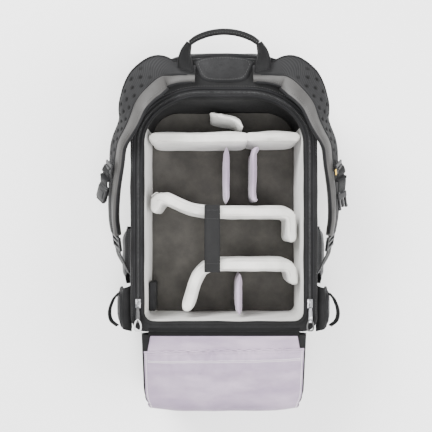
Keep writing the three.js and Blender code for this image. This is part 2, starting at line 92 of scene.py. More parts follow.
def floor_and_light():
    mesh = bpy.data.meshes.new("floor")
    mesh.from_pydata([(-6, -6, 0), (6, -6, 0), (6, 6, 0), (-6, 6, 0)], [], [(0, 1, 2, 3)])
    floor = bpy.data.objects.new("floor", mesh)
    bpy.context.collection.objects.link(floor)
    paint = bpy.data.materials.new("floor_paint")
    paint.use_nodes = True
    paint.node_tree.nodes["Principled BSDF"].inputs["Base Color"].default_value = (0.92, 0.92, 0.92, 1)
    paint.node_tree.nodes["Principled BSDF"].inputs["Roughness"].default_value = 0.9
    mesh.materials.append(paint)
    world = bpy.data.worlds.new("studio")
    world.use_nodes = True
    world.node_tree.nodes["Background"].inputs["Color"].default_value = (1, 1, 1, 1)
    world.node_tree.nodes["Background"].inputs["Strength"].default_value = 1.25
    bpy.context.scene.world = world
    lamps = [("key", (-1.0, 1.3, 1.9), 1.1, 112), ("fill", (1.5, -0.3, 1.7), 1.4, 60),
             ("top", (0.1, -0.4, 2.6), 0.9, 70)]
    for name, place, size, power in lamps:
        data = bpy.data.lights.new(name, "AREA")
        data.size = size
        data.energy = power
        lamp = bpy.data.objects.new(name, data)
        lamp.location = place
        lamp.rotation_euler = (Vector((0, 0, 0.1)) - Vector(place)).to_track_quat("-Z", "Y").to_euler()
        bpy.context.collection.objects.link(lamp)


# ---- shader maths ----
class Value:
    """A shader socket that takes part in Python arithmetic."""

    def __init__(self, graph, socket):
        self.graph = graph
        self.socket = socket

    def math(self, operation, first, second=0.0, third=0.0):
        inputs = {0: first, 1: second, 2: third}
        return self.graph.node("ShaderNodeMath", {"operation": operation}, inputs)

    def __add__(self, other):
        return self.math("ADD", self, other)

    __radd__ = __add__

    def __mul__(self, other):
        return self.math("MULTIPLY", self, other)

    __rmul__ = __mul__

    def __sub__(self, other):
        return self.math("SUBTRACT", self, other)

    def __rsub__(self, other):
        return self.math("SUBTRACT", other, self)

    def __truediv__(self, other):
        return self.math("DIVIDE", self, other)

    def sine(self):
        return self.math("SINE", self)

    def absolute(self):
        return self.math("ABSOLUTE", self)

    def wrap(self, size):
        return self.math("FLOORED_MODULO", self, size)

    def step(self, low, high):
        """0 below low, 1 above high, smooth between."""
        inputs = {"Value": self, "From Min": low, "From Max": high}
        return self.graph.node("ShaderNodeMapRange", {"interpolation_type": "SMOOTHSTEP"}, inputs)


class Graph:
    """One material's node tree."""

    def __init__(self, name, roughness=0.8, **sockets):
        self.material = bpy.data.materials.new(name)
        self.material.use_nodes = True
        self.tree = self.material.node_tree
        self.shader = self.tree.nodes["Principled BSDF"]
        self.set(Roughness=roughness, **sockets)

    def set(self, **sockets):
        for name, value in sockets.items():
            self.feed(self.shader.inputs[name.replace("_", " ")], value)

    def feed(self, socket, value):
        if isinstance(value, Value):
            self.tree.links.new(value.socket, socket)
        else:
            socket.default_value = value

    def node(self, kind, settings=None, inputs=None, output=0):
        node = self.tree.nodes.new(kind)
        for key, value in (settings or {}).items():
            setattr(node, key, value)
        for key, value in (inputs or {}).items():
            self.feed(node.inputs[key], value)
        return Value(self, node.outputs[output])

    def object_place(self):
        return self.node("ShaderNodeTexCoord", output="Object")

    def surface_place(self):
        return self.node("ShaderNodeTexCoord", output="UV")

    def axes(self, vector):
        split = self.node("ShaderNodeSeparateXYZ", inputs={0: vector})
        node = split.socket.node
        return [Value(self, node.outputs[axis]) for axis in range(3)]

    def clouds(self, scale, detail=3.0, rough=0.5, place=None):
        inputs = {"Vector": place or self.object_place(), "Scale": scale, "Detail": detail,
                  "Roughness": rough}
        return self.node("ShaderNodeTexNoise", inputs=inputs)

    def mix(self, factor, first, second):
        inputs = {0: factor, 6: first, 7: second}
        return self.node("ShaderNodeMix", {"data_type": "RGBA"}, inputs, output=2)

    def attribute(self, name):
        return self.node("ShaderNodeAttribute", {"attribute_name": name}, output="Fac")

    def bump(self, height, distance, strength=1.0, under=None):
        inputs = {"Height": height, "Distance": distance, "Strength": strength}
        if under:
            inputs["Normal"] = under
        return self.node("ShaderNodeBump", inputs=inputs)


def rgb(red, green, blue):
    return (red, green, blue, 1.0)


def weave(graph, pitch):
    """Plain weave height from 0 to 1 on the piece's own surface map, in metres."""
    u, v, _ = graph.axes(graph.surface_place())
    turn = 2 * math.pi / pitch
    return (u * turn).sine() * (v * turn).sine() * 0.5 + 0.5


def cross_weave(graph, pitch):
    """Weave height from object coordinates, for pieces without a surface map."""
    x, y, z = graph.axes(graph.object_place())
    turn = 2 * math.pi / pitch
    return ((x + z) * turn).sine() * ((y + z * 0.5) * turn).sine() * 0.5 + 0.5


def shell_fabric(name, base, worn, pitch=1.1 * MM, mapped=True):
    """Black woven nylon: fine weave, faint mottling, dust-grey where it is worn."""
    graph = Graph(name, 0.78, Sheen_Weight=0.02, Sheen_Roughness=0.5, Specular_IOR_Level=0.16)
    threads = weave(graph, pitch) if mapped else cross_weave(graph, pitch)
    cloud = graph.clouds(22, 5, 0.6)
    fine = graph.clouds(900, 2)
    shade = (cloud * 0.6 + fine * 0.25 + threads * 0.3).step(0.35, 0.85)
    graph.set(Base_Color=graph.mix(shade, rgb(*base), rgb(*worn)))
    graph.set(Roughness=0.70 + 0.2 * cloud)
    soft = graph.bump(cloud, 1.2 * MM, 0.5)
    graph.set(Normal=graph.bump(threads + fine * 0.8, 0.18 * MM, 0.8, soft))
    return graph.material


def strap_face(name):
    """Ribbed air mesh: fine ribs along the strap, dimples painted near black as shade in their hollows, and a
    smooth satin band at the inner edge painted lighter as its sheen.
    """
    graph = Graph(name, 0.7, Sheen_Weight=0.02, Sheen_Roughness=0.4, Specular_IOR_Level=0.2)
    u, v, _ = graph.axes(graph.surface_place())
    ribs = ((u + v) * (2 * math.pi / (2.4 * MM))).sine() * 0.5 + 0.5
    cross = ((u - v) * (2 * math.pi / (1.2 * MM))).sine() * 0.5 + 0.5
    satin = graph.attribute("satin")
    dimple_shade = graph.attribute("dimple_shade")
    cloud = graph.clouds(30, 4)
    pattern = (ribs * 0.7 + cross * 0.3) * (1 - satin)
    cloth = graph.mix(pattern * 0.6 + cloud * 0.4, rgb(0.002, 0.002, 0.0022), rgb(0.023, 0.023, 0.024))
    # Painted sheen: the smooth satin band gets a lighter grey than the ribbed cloth, standing in for its
    # shine; its lower roughness is its own.
    satin_painted_sheen = graph.mix(cloud, rgb(0.026, 0.025, 0.0245), rgb(0.076, 0.074, 0.072))
    colour = graph.mix(satin, cloth, satin_painted_sheen)
    # Painted shade: the dimples' hollows are mixed to near black.
    graph.set(Base_Color=graph.mix(dimple_shade, colour, rgb(0.001, 0.001, 0.001)))
    graph.set(Roughness=0.78 - 0.3 * satin)
    graph.set(Normal=graph.bump(pattern, 0.35 * MM, 0.7))
    return graph.material


def webbing(name, base, light, pitch=2.6 * MM):
    """Satin webbing: herringbone rows along the tape with a selvedge on each edge."""
    graph = Graph(name, 0.5, Sheen_Weight=0.02, Specular_IOR_Level=0.16)
    u, v, _ = graph.axes(graph.surface_place())
    lean = ((u / pitch).wrap(1.0) - 0.5).absolute() * 2
    rows = ((v / (1.1 * MM) + lean) * (2 * math.pi)).sine() * 0.5 + 0.5
    cloud = graph.clouds(60, 3)
    graph.set(Base_Color=graph.mix(rows * 0.7 + cloud * 0.3, rgb(*base), rgb(*light)))
    graph.set(Roughness=0.42 + 0.25 * rows)
    graph.set(Normal=graph.bump(rows, 0.25 * MM, 0.8))
    return graph.material


def brushed_liner(name, base, shade):
    """Brushed loop fabric over foam: short nap, soft mottling and faint hand marks."""
    graph = Graph(name, 0.95, Sheen_Weight=0.35, Sheen_Roughness=0.6, Specular_IOR_Level=0.15)
    nap = graph.clouds(1500, 3, 0.7)
    loops = graph.clouds(420, 2)
    marks = graph.clouds(26, 4, 0.6)
    graph.set(Base_Color=graph.mix((nap * 0.4 + marks * 0.7).step(0.3, 0.85), rgb(*shade), rgb(*base)))
    soft = graph.bump(marks, 2.0 * MM, 0.35)
    graph.set(Normal=graph.bump(nap * 0.6 + loops * 0.4, 0.45 * MM, 0.65, soft))
    return graph.material


def lilac_cloth(name, base, shade, mapped=True):
    """Fine lining cloth with a soft sheen and shallow creases, its colour painted darker in the creases as
    shade.
    """
    graph = Graph(name, 0.62, Sheen_Weight=0.3, Sheen_Roughness=0.35, Specular_IOR_Level=0.35)
    threads = weave(graph, 0.8 * MM) if mapped else cross_weave(graph, 0.8 * MM)
    stretched = graph.node("ShaderNodeMapping", inputs={0: graph.object_place(), 3: (0.7, 1.6, 1.6)})
    creases_and_shade = graph.clouds(16, 4, 0.55, stretched)
    # Painted shade: the crease noise pulls the colour towards the shade colour, besides bumping the cloth.
    graph.set(Base_Color=graph.mix((creases_and_shade * 0.75 + threads * 0.2).step(0.25, 0.8), rgb(*shade), rgb(*base)))
    graph.set(Roughness=0.55 + 0.2 * creases_and_shade)
    soft = graph.bump(creases_and_shade, 3.5 * MM, 0.55)
    graph.set(Normal=graph.bump(threads, 0.12 * MM, 0.6, soft))
    return graph.material


def knit_mesh(name):
    """Stretch mesh: rows of small round holes in a soft knit."""
    graph = Graph(name, 0.8, Sheen_Weight=0.06)
    x, y, z = graph.axes(graph.object_place())
    pitch = 2 * math.pi / (3.2 * MM)
    cells = ((y + x * 0.3) * pitch).sine() * ((z + x * 0.3) * pitch).sine()
    holes = cells.step(0.15, 0.6)
    graph.set(Base_Color=graph.mix(holes, rgb(0.045, 0.045, 0.047), rgb(0.003, 0.003, 0.003)))
    graph.set(Normal=graph.bump(1 - holes, 0.6 * MM, 0.9))
    return graph.material


def plain_plastic(name, base, light, roughness):
    """Moulded plastic with a fine spark-eroded grain and soft lighter patches."""
    graph = Graph(name, roughness, Specular_IOR_Level=0.5)
    grain = graph.clouds(1400, 2)
    cloud = graph.clouds(90, 3)
    graph.set(Base_Color=graph.mix(cloud.step(0.4, 0.8), rgb(*base), rgb(*light)))
    graph.set(Roughness=roughness + 0.15 * (cloud - 0.5))
    graph.set(Normal=graph.bump(grain, 0.08 * MM, 0.5))
    return graph.material


def lacquered_metal(name):
    graph = Graph(name, 0.35, Metallic=0.9)
    cloud = graph.clouds(160, 4)
    graph.set(Base_Color=graph.mix(cloud.step(0.45, 0.75), rgb(0.10, 0.10, 0.105), rgb(0.36, 0.36, 0.37)))
    graph.set(Roughness=0.28 + 0.25 * cloud)
    return graph.material


def thread(name, base, shade):
    graph = Graph(name, 0.6)
    twist = graph.clouds(2200, 2)
    graph.set(Base_Color=graph.mix(twist, rgb(*shade), rgb(*base)))
    return graph.material


camera()
floor_and_light()

SHELL = shell_fabric("black_nylon", (0.0012, 0.0012, 0.0013), (0.013, 0.013, 0.0135))
YOKE_CLOTH = shell_fabric("yoke_nylon", (0.004, 0.004, 0.0042), (0.028, 0.028, 0.029))
# The hinge cloth is a darker copy of the black nylon: painted shade for the shadow line in the fold between
# lid and body.
HINGE_SHADED_NYLON = shell_fabric("hinge_nylon_painted_shade", (0.0006, 0.0006, 0.0007), (0.005, 0.005, 0.0053))
SHELL_SOFT = shell_fabric("black_nylon_padded", (0.003, 0.003, 0.0033), (0.019, 0.019, 0.020), mapped=False)
STRAP = strap_face("strap_air_mesh")
BINDING = shell_fabric("edge_binding", (0.003, 0.003, 0.0035), (0.014, 0.014, 0.015), 0.9 * MM)
WEBBING = webbing("black_webbing", (0.002, 0.002, 0.0022), (0.012, 0.012, 0.0125))
SATIN_WEBBING = webbing("handle_webbing", (0.0006, 0.0006, 0.0007), (0.004, 0.004, 0.0045), 3.2 * MM)
HOLD_WEBBING = webbing("hold_down_webbing", (0.003, 0.003, 0.0032), (0.013, 0.013, 0.0135), 2.0 * MM)
# Painted shadow: the liner wall under the hood gets near-black cloth for the shade the hood casts over it.
HOOD_SHADOW_CLOTH = shell_fabric("hood_shadow_painted_lining", (0.006, 0.006, 0.006), (0.022, 0.022, 0.023), 1.3 * MM)
LINER = brushed_liner("grey_brushed_liner", (0.66, 0.65, 0.62), (0.44, 0.435, 0.41))
# Painted shade: the compartment floor gets the dark warm grey that the grey liner shows deep in the shaded
# compartments.
FLOOR_SHADED_LINER = brushed_liner("floor_liner_painted_shade", (0.072, 0.067, 0.060), (0.032, 0.030, 0.027))
LILAC = lilac_cloth("lilac_lining", (0.42, 0.345, 0.43), (0.20, 0.155, 0.225))
LILAC_PAD = lilac_cloth("lilac_divider_cloth", (0.39, 0.32, 0.41), (0.24, 0.185, 0.26), mapped=False)
MESH = knit_mesh("pocket_stretch_mesh")
BACK_MESH = knit_mesh("back_air_mesh")
PLASTIC = plain_plastic("black_acetal", (0.005, 0.005, 0.0055), (0.016, 0.016, 0.017), 0.45)
COIL = plain_plastic("zip_coil_nylon", (0.020, 0.020, 0.021), (0.055, 0.055, 0.057), 0.4)
METAL = lacquered_metal("dark_zip_metal")
WHITE_THREAD = thread("white_thread", (0.86, 0.85, 0.84), (0.7, 0.68, 0.68))
BLACK_THREAD = thread("black_thread", (0.06, 0.06, 0.06), (0.015, 0.015, 0.015))
SEAM_GREY = brushed_liner("divider_seam_cloth", (0.60, 0.59, 0.56), (0.42, 0.41, 0.39))
YELLOW = thread("yellow_tag_cloth", (0.80, 0.50, 0.05), (0.66, 0.40, 0.03))
CORD = thread("pale_pull_cord", (0.5, 0.5, 0.5), (0.3, 0.3, 0.3))


# ---- mesh helpers ----
def mesh_object(name, vertices, faces, material, uvs=None):
    mesh = bpy.data.meshes.new(name)
    mesh.from_pydata([tuple(map(float, v)) for v in vertices], [], faces)
    if uvs is not None:
        layer = mesh.uv_layers.new(name="UVMap")
        layer.data.foreach_set("uv", np.asarray(uvs, dtype=float).ravel())
    mesh.materials.append(material)
    mesh.polygons.foreach_set("use_smooth", [True] * len(mesh.polygons))
    obj = bpy.data.objects.new(name, mesh)
    bpy.context.collection.objects.link(obj)
    return obj


def outward(obj):
    work = bmesh.new()
    work.from_mesh(obj.data)
    bmesh.ops.recalc_face_normals(work, faces=work.faces)
    work.to_mesh(obj.data)
    work.free()
    return obj


def sharpen(obj, ends):
    """Keeps the shading of the skin apart from the flat caps on its first and last ring."""
    first, size = ends
    mesh = obj.data
    marks = [False] * len(mesh.edges)
    for edge in mesh.edges:
        low, high = sorted(edge.vertices)
        if high < size or first <= low and high < first + size:
            marks[edge.index] = True
    layer = mesh.attributes.get("sharp_edge") or mesh.attributes.new("sharp_edge", "BOOLEAN", "EDGE")
    layer.data.foreach_set("value", marks)


def loft(name, rings, material, loop=False, fan=True):
    """A closed skin through closed rings. loop joins the last ring to the first; otherwise both ends are
    capped, with a fan or, on a bent outline, with one face."""
    rings = np.asarray(rings, dtype=float)
    count, size, _ = rings.shape
    around = np.linalg.norm(np.diff(np.vstack([rings[0], rings[0][:1]]), axis=0), axis=1)
    u = np.concatenate([[0], np.cumsum(around)])
    middles = rings[:, 0]
    steps = np.linalg.norm(np.diff(np.vstack([middles, middles[:1]]), axis=0), axis=1)
    v = np.concatenate([[0], np.cumsum(steps)])
    faces, uvs = [], []
    for low in range(count if loop else count - 1):
        high = (low + 1) % count
        for at in range(size):
            after = (at + 1) % size
            faces.append((low * size + at, low * size + after, high * size + after, high * size + at))
            uvs += [(u[at], v[low]), (u[at + 1], v[low]), (u[at + 1], v[low + 1]), (u[at], v[low + 1])]
    vertices = list(rings.reshape(-1, 3))
    if not loop and not fan:
        for first in (0, (count - 1) * size):
            faces.append(tuple(range(first, first + size)))
            uvs += [(0, 0)] * size
    elif not loop:
        for ring, first in ((rings[0], 0), (rings[-1], (count - 1) * size)):
            middle = len(vertices)
            vertices.append(ring.mean(axis=0))
            for at in range(size):
                faces.append((middle, first + at, first + (at + 1) % size))
                uvs += [(0, 0), (u[at], 0), (u[at + 1], 0)]
    piece = outward(mesh_object(name, vertices, faces, material, uvs))
    if not loop:
        sharpen(piece, [(count - 1) * size, size])
    return piece


def smooth_path(points, count, closed=False):
    """Even points on a smooth curve through the given ones."""
    points = np.asarray(points, dtype=float)
    total = len(points)

    def at(index):
        if closed:
            return points[index % total]
        if index < 0:
            return 2 * points[0] - points[1]
        if index >= total:
            return 2 * points[-1] - points[-2]
        return points[index]

    dense = []
    for span in range(total if closed else total - 1):
        a, b, c, d = at(span - 1), at(span), at(span + 1), at(span + 2)
        for t in np.linspace(0, 1, 12, endpoint=False):
            dense.append(0.5 * (2 * b + (c - a) * t + (2 * a - 5 * b + 4 * c - d) * t**2
                                + (3 * b - 3 * c + d - a) * t**3))
    dense.append(points[0] if closed else points[-1])
    return resample(dense, count, closed)


def resample(points, count, closed=False):
    points = np.asarray(points, dtype=float)
    length = np.concatenate([[0], np.cumsum(np.linalg.norm(np.diff(points, axis=0), axis=1))])
    wanted = np.linspace(0, length[-1], count, endpoint=not closed)
    return np.stack([np.interp(wanted, length, points[:, axis]) for axis in range(points.shape[1])], axis=1)


def unit(vectors):
    return vectors / np.maximum(np.linalg.norm(vectors, axis=-1, keepdims=True), 1e-9)


def tangents(points, closed=False):
    if closed:
        return unit(np.roll(points, -1, axis=0) - np.roll(points, 1, axis=0))
    return unit(np.gradient(points, axis=0))


def tube(name, points, radius, material, up=(0, 0, 1), closed=False, sides=8, flat=1.0):
    """A round or flattened cord along points; flat scales its height along up."""
    points = np.asarray(points, dtype=float)
    along = tangents(points, closed)
    across = unit(np.cross(along, np.broadcast_to(up, points.shape)))
    over = np.cross(across, along)
    angles = np.linspace(0, 2 * math.pi, sides, endpoint=False)
    radius = np.broadcast_to(radius, len(points))
    rings = [[p + r * (math.cos(a) * side + flat * math.sin(a) * lift) for a in angles]
             for p, side, lift, r in zip(points, across, over, radius)]
    return loft(name, rings, material, closed)


def ribbon(name, points, across, half, thickness, material, curve=0.0):
    """Flat webbing: points, the direction of its width at each, half width and thickness."""
    points = np.asarray(points, dtype=float)
    across = unit(np.asarray(across, dtype=float))
    over = unit(np.cross(across, tangents(points)))
    half = np.broadcast_to(half, len(points))
    columns = np.linspace(-1, 1, 9)
    rings = []
    for p, side, lift, wide in zip(points, across, over, half):
        bow = lambda x: curve * (1 - x * x)
        top = [p + side * wide * x + lift * (thickness / 2 * (1 - abs(x) ** 6 * 0.5) + bow(x))
               for x in columns]
        low = [p + side * wide * x + lift * (bow(x) - thickness / 2 * (1 - abs(x) ** 6 * 0.5))
               for x in columns[::-1]]
        rings.append(top + low)
    return loft(name, rings, material)


def rounded_block(name, low, high, radius, material, steps=3):
    """A box with rounded edges between two corners, in metres."""
    work = bmesh.new()
    bmesh.ops.create_cube(work, size=1)
    low, high = Vector(low), Vector(high)
    for vertex in work.verts:
        vertex.co = Vector([low[i] + (vertex.co[i] + 0.5) * (high[i] - low[i]) for i in range(3)])
    bmesh.ops.bevel(work, geom=work.edges[:], offset=radius, segments=steps, profile=0.6, affect="EDGES")
    mesh = bpy.data.meshes.new(name)
    work.to_mesh(mesh)
    work.free()
    mesh.materials.append(material)
    mesh.polygons.foreach_set("use_smooth", [True] * len(mesh.polygons))
    obj = bpy.data.objects.new(name, mesh)
    bpy.context.collection.objects.link(obj)
    return obj


def join(name, objects):
    bpy.ops.object.select_all(action="DESELECT")
    for obj in objects:
        obj.select_set(True)
    bpy.context.view_layer.objects.active = objects[0]
    bpy.ops.object.join()
    objects[0].name = name
    objects[0].data.name = name
    return objects[0]


def rumple(obj, size, amount, seed=0.0):
    """Moves each point along its normal by soft noise, in metres."""
    mesh = obj.data
    normals = [v.normal.copy() for v in mesh.vertices]
    shift = Vector((seed, seed * 1.7, seed * 0.3))
    for vertex, normal in zip(mesh.vertices, normals):
        vertex.co += normal * amount * noise.noise(vertex.co / size + shift)
    mesh.update()
    return obj


def settle(obj, body, replaces=()):
    """Hangs a finished piece on its body's empty when given one body name, otherwise bakes its transform in
    place; hides the nodes it stands for.
    """
    if isinstance(body, str):
        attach(obj, body)
    else:
        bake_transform(obj)
    if replaces:
        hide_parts(*replaces)
    return obj


# ---- repeats along a path, by geometry nodes ----
def along_path(name, points, spacing, size, material, closed=False):
    """Small rounded bars set along a path, their length along size[0]; flat on the path's own plane."""
    curve = bpy.data.curves.new(name, "CURVE")
    curve.dimensions = "3D"
    spline = curve.splines.new("POLY")
    spline.points.add(len(points) - 1)
    for point, place in zip(spline.points, points):
        point.co = (*map(float, place), 1)
    spline.use_cyclic_u = closed
    obj = bpy.data.objects.new(name, curve)
    bpy.context.collection.objects.link(obj)
    tree = bpy.data.node_groups.new(name, "GeometryNodeTree")
    tree.interface.new_socket("Geometry", in_out="INPUT", socket_type="NodeSocketGeometry")
    inputs = {}
    for key, kind in (("Spacing", "NodeSocketFloat"), ("Size", "NodeSocketVector"),
                      ("Material", "NodeSocketMaterial")):
        inputs[key] = tree.interface.new_socket(key, in_out="INPUT", socket_type=kind).identifier
    tree.interface.new_socket("Geometry", in_out="OUTPUT", socket_type="NodeSocketGeometry")
    new = tree.nodes.new
    link = tree.links.new
    source, result = new("NodeGroupInput"), new("NodeGroupOutput")
    even = new("GeometryNodeResampleCurve")
    even.mode = "LENGTH"
    bar = new("GeometryNodeMeshCube")
    for axis in ("Vertices X", "Vertices Y", "Vertices Z"):
        bar.inputs[axis].default_value = 2
    softer = new("GeometryNodeSubdivisionSurface")
    softer.inputs["Level"].default_value = 1
    place = new("GeometryNodeInstanceOnPoints")
    tangent = new("GeometryNodeInputTangent")
    upright = new("FunctionNodeAlignRotationToVector")
    upright.axis = "X"
    solid = new("GeometryNodeRealizeInstances")
    paint = new("GeometryNodeSetMaterial")
    link(source.outputs["Geometry"], even.inputs["Curve"])
    link(source.outputs["Spacing"], even.inputs["Length"])
    link(source.outputs["Size"], bar.inputs["Size"])
    link(bar.outputs["Mesh"], softer.inputs["Mesh"])
    link(even.outputs["Curve"], place.inputs["Points"])
    link(softer.outputs["Mesh"], place.inputs["Instance"])
    link(tangent.outputs["Tangent"], upright.inputs["Vector"])
    link(upright.outputs["Rotation"], place.inputs["Rotation"])
    link(place.outputs["Instances"], solid.inputs["Geometry"])
    link(solid.outputs["Geometry"], paint.inputs["Geometry"])
    link(source.outputs["Material"], paint.inputs["Material"])
    link(paint.outputs["Geometry"], result.inputs["Geometry"])
    modifier = obj.modifiers.new(name, "NODES")
    modifier.node_group = tree
    modifier[inputs["Spacing"]] = spacing
    modifier[inputs["Size"]] = size
    modifier[inputs["Material"]] = material
    mesh = bpy.data.meshes.new_from_object(obj.evaluated_get(bpy.context.evaluated_depsgraph_get()))
    bpy.data.objects.remove(obj)
    piece = bpy.data.objects.new(name, mesh)
    mesh.polygons.foreach_set("use_smooth", [True] * len(mesh.polygons))
    bpy.context.collection.objects.link(piece)
    return piece


def stitches(name, points, material=None, pitch=4.2 * MM, width=0.9 * MM):
    return along_path(name, points, pitch, (pitch * 0.68, width, width), material or BLACK_THREAD)


# ---- padded fabric by cloth simulation ----
def inflate(obj, voxel=5 * MM, pressure=4.0, most=5 * MM):
    """Swells a closed shape like foam in a sewn cover, then rounds it once."""
    bpy.ops.object.select_all(action="DESELECT")
    bpy.context.view_layer.objects.active = obj
    obj.select_set(True)
    remesh = obj.modifiers.new("remesh", "REMESH")
    remesh.mode = "VOXEL"
    remesh.voxel_size = voxel
    bpy.ops.object.modifier_apply(modifier=remesh.name)
    before = np.array([v.co[:] for v in obj.data.vertices])
    cloth = obj.modifiers.new("cloth", "CLOTH")
    cloth.settings.use_pressure = True
    cloth.settings.uniform_pressure_force = pressure
    cloth.settings.effector_weights.gravity = 0
    cloth.settings.quality = 4
    for step in range(1, 21):
        bpy.context.scene.frame_set(step)
    evaluated = obj.evaluated_get(bpy.context.evaluated_depsgraph_get())
    after = np.array([v.co[:] for v in evaluated.data.vertices])
    obj.modifiers.remove(cloth)
    bpy.context.scene.frame_set(1)
    move = after - before
    length = np.maximum(np.linalg.norm(move, axis=1, keepdims=True), 1e-9)
    move *= np.minimum(1, most / length)
    obj.data.vertices.foreach_set("co", (before + move).ravel())
    obj.data.update()
    finer = obj.modifiers.new("finer", "SUBSURF")
    finer.levels = finer.render_levels = 1
    bpy.ops.object.modifier_apply(modifier=finer.name)
    obj.data.polygons.foreach_set("use_smooth", [True] * len(obj.data.polygons))
    return obj


def drop(points, obj, lift=0.0, reach=0.08):
    """Lowers points straight down onto a piece, then lifts them a little."""
    landed = []
    for x, y, z in points:
        hit, place, _, _ = obj.ray_cast(Vector((x, y, z + reach)), Vector((0, 0, -1)))
        landed.append((x, y, (place.z if hit else z) + lift))
    return np.array(landed)


# ---- plan outlines shared by the shell, rim and liner ----
def arched(half, bottom, top, radius, shoulder, count=240):
    """Even points round a plan outline from the bottom middle: small lower corners and broad upper ones."""
    def arc(centre, radii, first, last):
        angles = np.radians(np.linspace(first, last, 25))
        return np.stack([centre[0] + radii[0] * np.cos(angles), centre[1] + radii[1] * np.sin(angles)],
                        axis=1)

    low = (half - radius, bottom + radius)
    high = (half - shoulder[0], top - shoulder[1])
    line = [[(0, bottom)], arc(low, (radius, radius), -90, 0), arc(high, shoulder, 0, 90),
            arc((-high[0], high[1]), shoulder, 90, 180), arc((-low[0], low[1]), (radius, radius), 180, 270),
            [(0, bottom)]]
    return resample(np.vstack(line), count + 1)[:-1]


def level(outline, z):
    return np.column_stack([outline, np.full(len(outline), z)])


SHOULDER = (110 * MM, 109 * MM)
WALL_OUTER = RIM_HALF - 0.9 * MM


def swell(z):
    return max(0.0, math.sin(math.pi * (z - FRONT_TOP) / (RIM_LOW - FRONT_TOP)))


def crown(z):
    return RIM_END + 26 * MM * max(swell(z), (RIM_LOW - z) / (2 * RIM_LOW))


def shell_outline(z, inset=0.0):
    half = WALL_OUTER + 8 * MM * swell(z) - inset
    top = crown(z) - inset
    return arched(half, BOTTOM_Y + inset, top, BOTTOM_RADIUS, (SHOULDER[0], top - RIM_END + SHOULDER[1]))


def opening_outline(offset):
    """Outline that keeps one distance from the opening's edge."""
    corner_size = (OPENING_CORNER[0] + offset, OPENING_CORNER[1] + offset)
    outline = arched(OPENING_HALF + offset, OPENING_BOTTOM - offset, OPENING_TOP + offset, 14 * MM + offset,
                     corner_size)
    outline[:, 1] = np.maximum(outline[:, 1], BOTTOM_Y)
    return outline


def zip_line(offset, end=-128 * MM, count=400):
    """The open run of the zip: up one side, round the top and down the other."""
    half, top = OPENING_HALF + offset, OPENING_TOP + offset
    wide, tall = OPENING_CORNER[0] + offset, OPENING_CORNER[1] + offset
    angles = np.radians(np.linspace(0, 90, 25))
    right = np.stack([half - wide + wide * np.cos(angles), top - tall + tall * np.sin(angles)], axis=1)
    left = right[::-1] * (-1, 1)
    return resample(np.vstack([[(half, end)], right, left, [(-half, end)]]), count)


# ---- shell, rim and zip ----
def build_shell():
    floor_levels = [(0.5, 16), (1.5, 10), (5, 5), (12, 2.0), (24, 0.3), (40, -0.6), (52, 0.4), (56, 1.6)]
    rings = [level(shell_outline(FRONT_TOP, inset * MM), z * MM) for z, inset in floor_levels]
    front = rumple(loft("front_compartment", rings, SHELL), 0.07, 1.6 * MM, 2.0)
    settle(front, "bag", ["front_panel"])

    heights = np.linspace(FRONT_TOP + 0.4 * MM, RIM_LOW - 0.4 * MM, 26)
    edge = [2.2, 0.9, 0.3] + [0.0] * 20 + [0.3, 0.9, 2.2]
    rings = [level(shell_outline(z, inset * MM), z) for z, inset in zip(heights, edge)]
    inner = arched(135.3 * MM, BOTTOM_Y + 8 * MM, 215 * MM, 16 * MM, (57 * MM, 52 * MM))
    rings += [level(inner, z) for z in np.linspace(RIM_LOW - 0.4 * MM, FRONT_TOP + 0.4 * MM, 8)]
    wall = loft("body_wall", rings, SHELL, loop=True)
    rumple(rumple(wall, 0.085, 3.2 * MM, 5.0), 0.03, 1.0 * MM, 9.0)
    settle(wall, "bag", ["side_panel_left", "side_panel_right", "top_hood", "bottom_panel"])

    pipes = [
        tube("front_piping", level(shell_outline(FRONT_TOP, 0.6 * MM), FRONT_TOP), 2.2 * MM, BINDING,
             closed=True),
        tube("rim_piping", level(shell_outline(RIM_LOW, 0.4 * MM), RIM_LOW + 0.2 * MM), 2.0 * MM, BINDING,
             closed=True),
    ]
    for pipe in pipes:
        settle(pipe, "bag")


def rim_outline(share):
    """From the zip's outer piping (0) to the rim's outer edge (1)."""
    inner = opening_outline(15 * MM)
    outer = arched(RIM_HALF, BOTTOM_Y, RIM_END, BOTTOM_RADIUS, SHOULDER)
    return inner * (1 - share) + outer * share


def build_rim():
    section = [(0, -11), (0, -2.5), (0.6, -0.6), (2.0, 0.4), (3.6, 0.4), (5.0, -0.9), (6.5, -1.0), (12, -1.0),
               (13.2, 0.4), (15, 1.0)]
    rings = [level(opening_outline(out * MM), RIM_TOP + up * MM) for out, up in section]
    for share, up in [(0.12, 1.9), (0.3, 2.8), (0.5, 3.0), (0.7, 2.4), (0.86, 0.8), (0.96, -1.8), (1.0, -5),
                      (1.0, -11)]:
        rings.append(level(rim_outline(share), RIM_TOP + up * MM))
    rim = rumple(loft("padded_rim", rings, SHELL, loop=True), 0.045, 1.3 * MM, 3.0)
    settle(rim, "bag", ["rim_frame"])

    tape = zip_line(8.8 * MM)
    out = tangents(tape) @ np.array([[0, -1], [1, 0]])
    tape_piece = ribbon("zip_tape", level(tape, RIM_TOP + 0.1 * MM),
                        np.column_stack([out, np.zeros(len(out))]),
                        4.0 * MM, 1.0 * MM, WEBBING)
    settle(tape_piece, "bag")
    teeth = along_path("zip_coil", level(zip_line(9 * MM), RIM_TOP + 1.3 * MM), 2.0 * MM,
                       (1.1 * MM, 4.6 * MM, 1.8 * MM), COIL)
    settle(teeth, "bag", ["zip_track"])
    for name, offset, radius in (("inner", 3.4, 1.7), ("outer", 15.2, 1.9)):
        pipe = tube(f"zip_piping_{name}", level(zip_line(offset * MM, -140 * MM), RIM_TOP + 1.0 * MM),
                    radius * MM, BINDING)
        settle(pipe, "bag")
    seam = stitches("rim_stitching", level(zip_line(18.5 * MM, -140 * MM), RIM_TOP + 2.6 * MM), BLACK_THREAD)
    settle(seam, "bag")


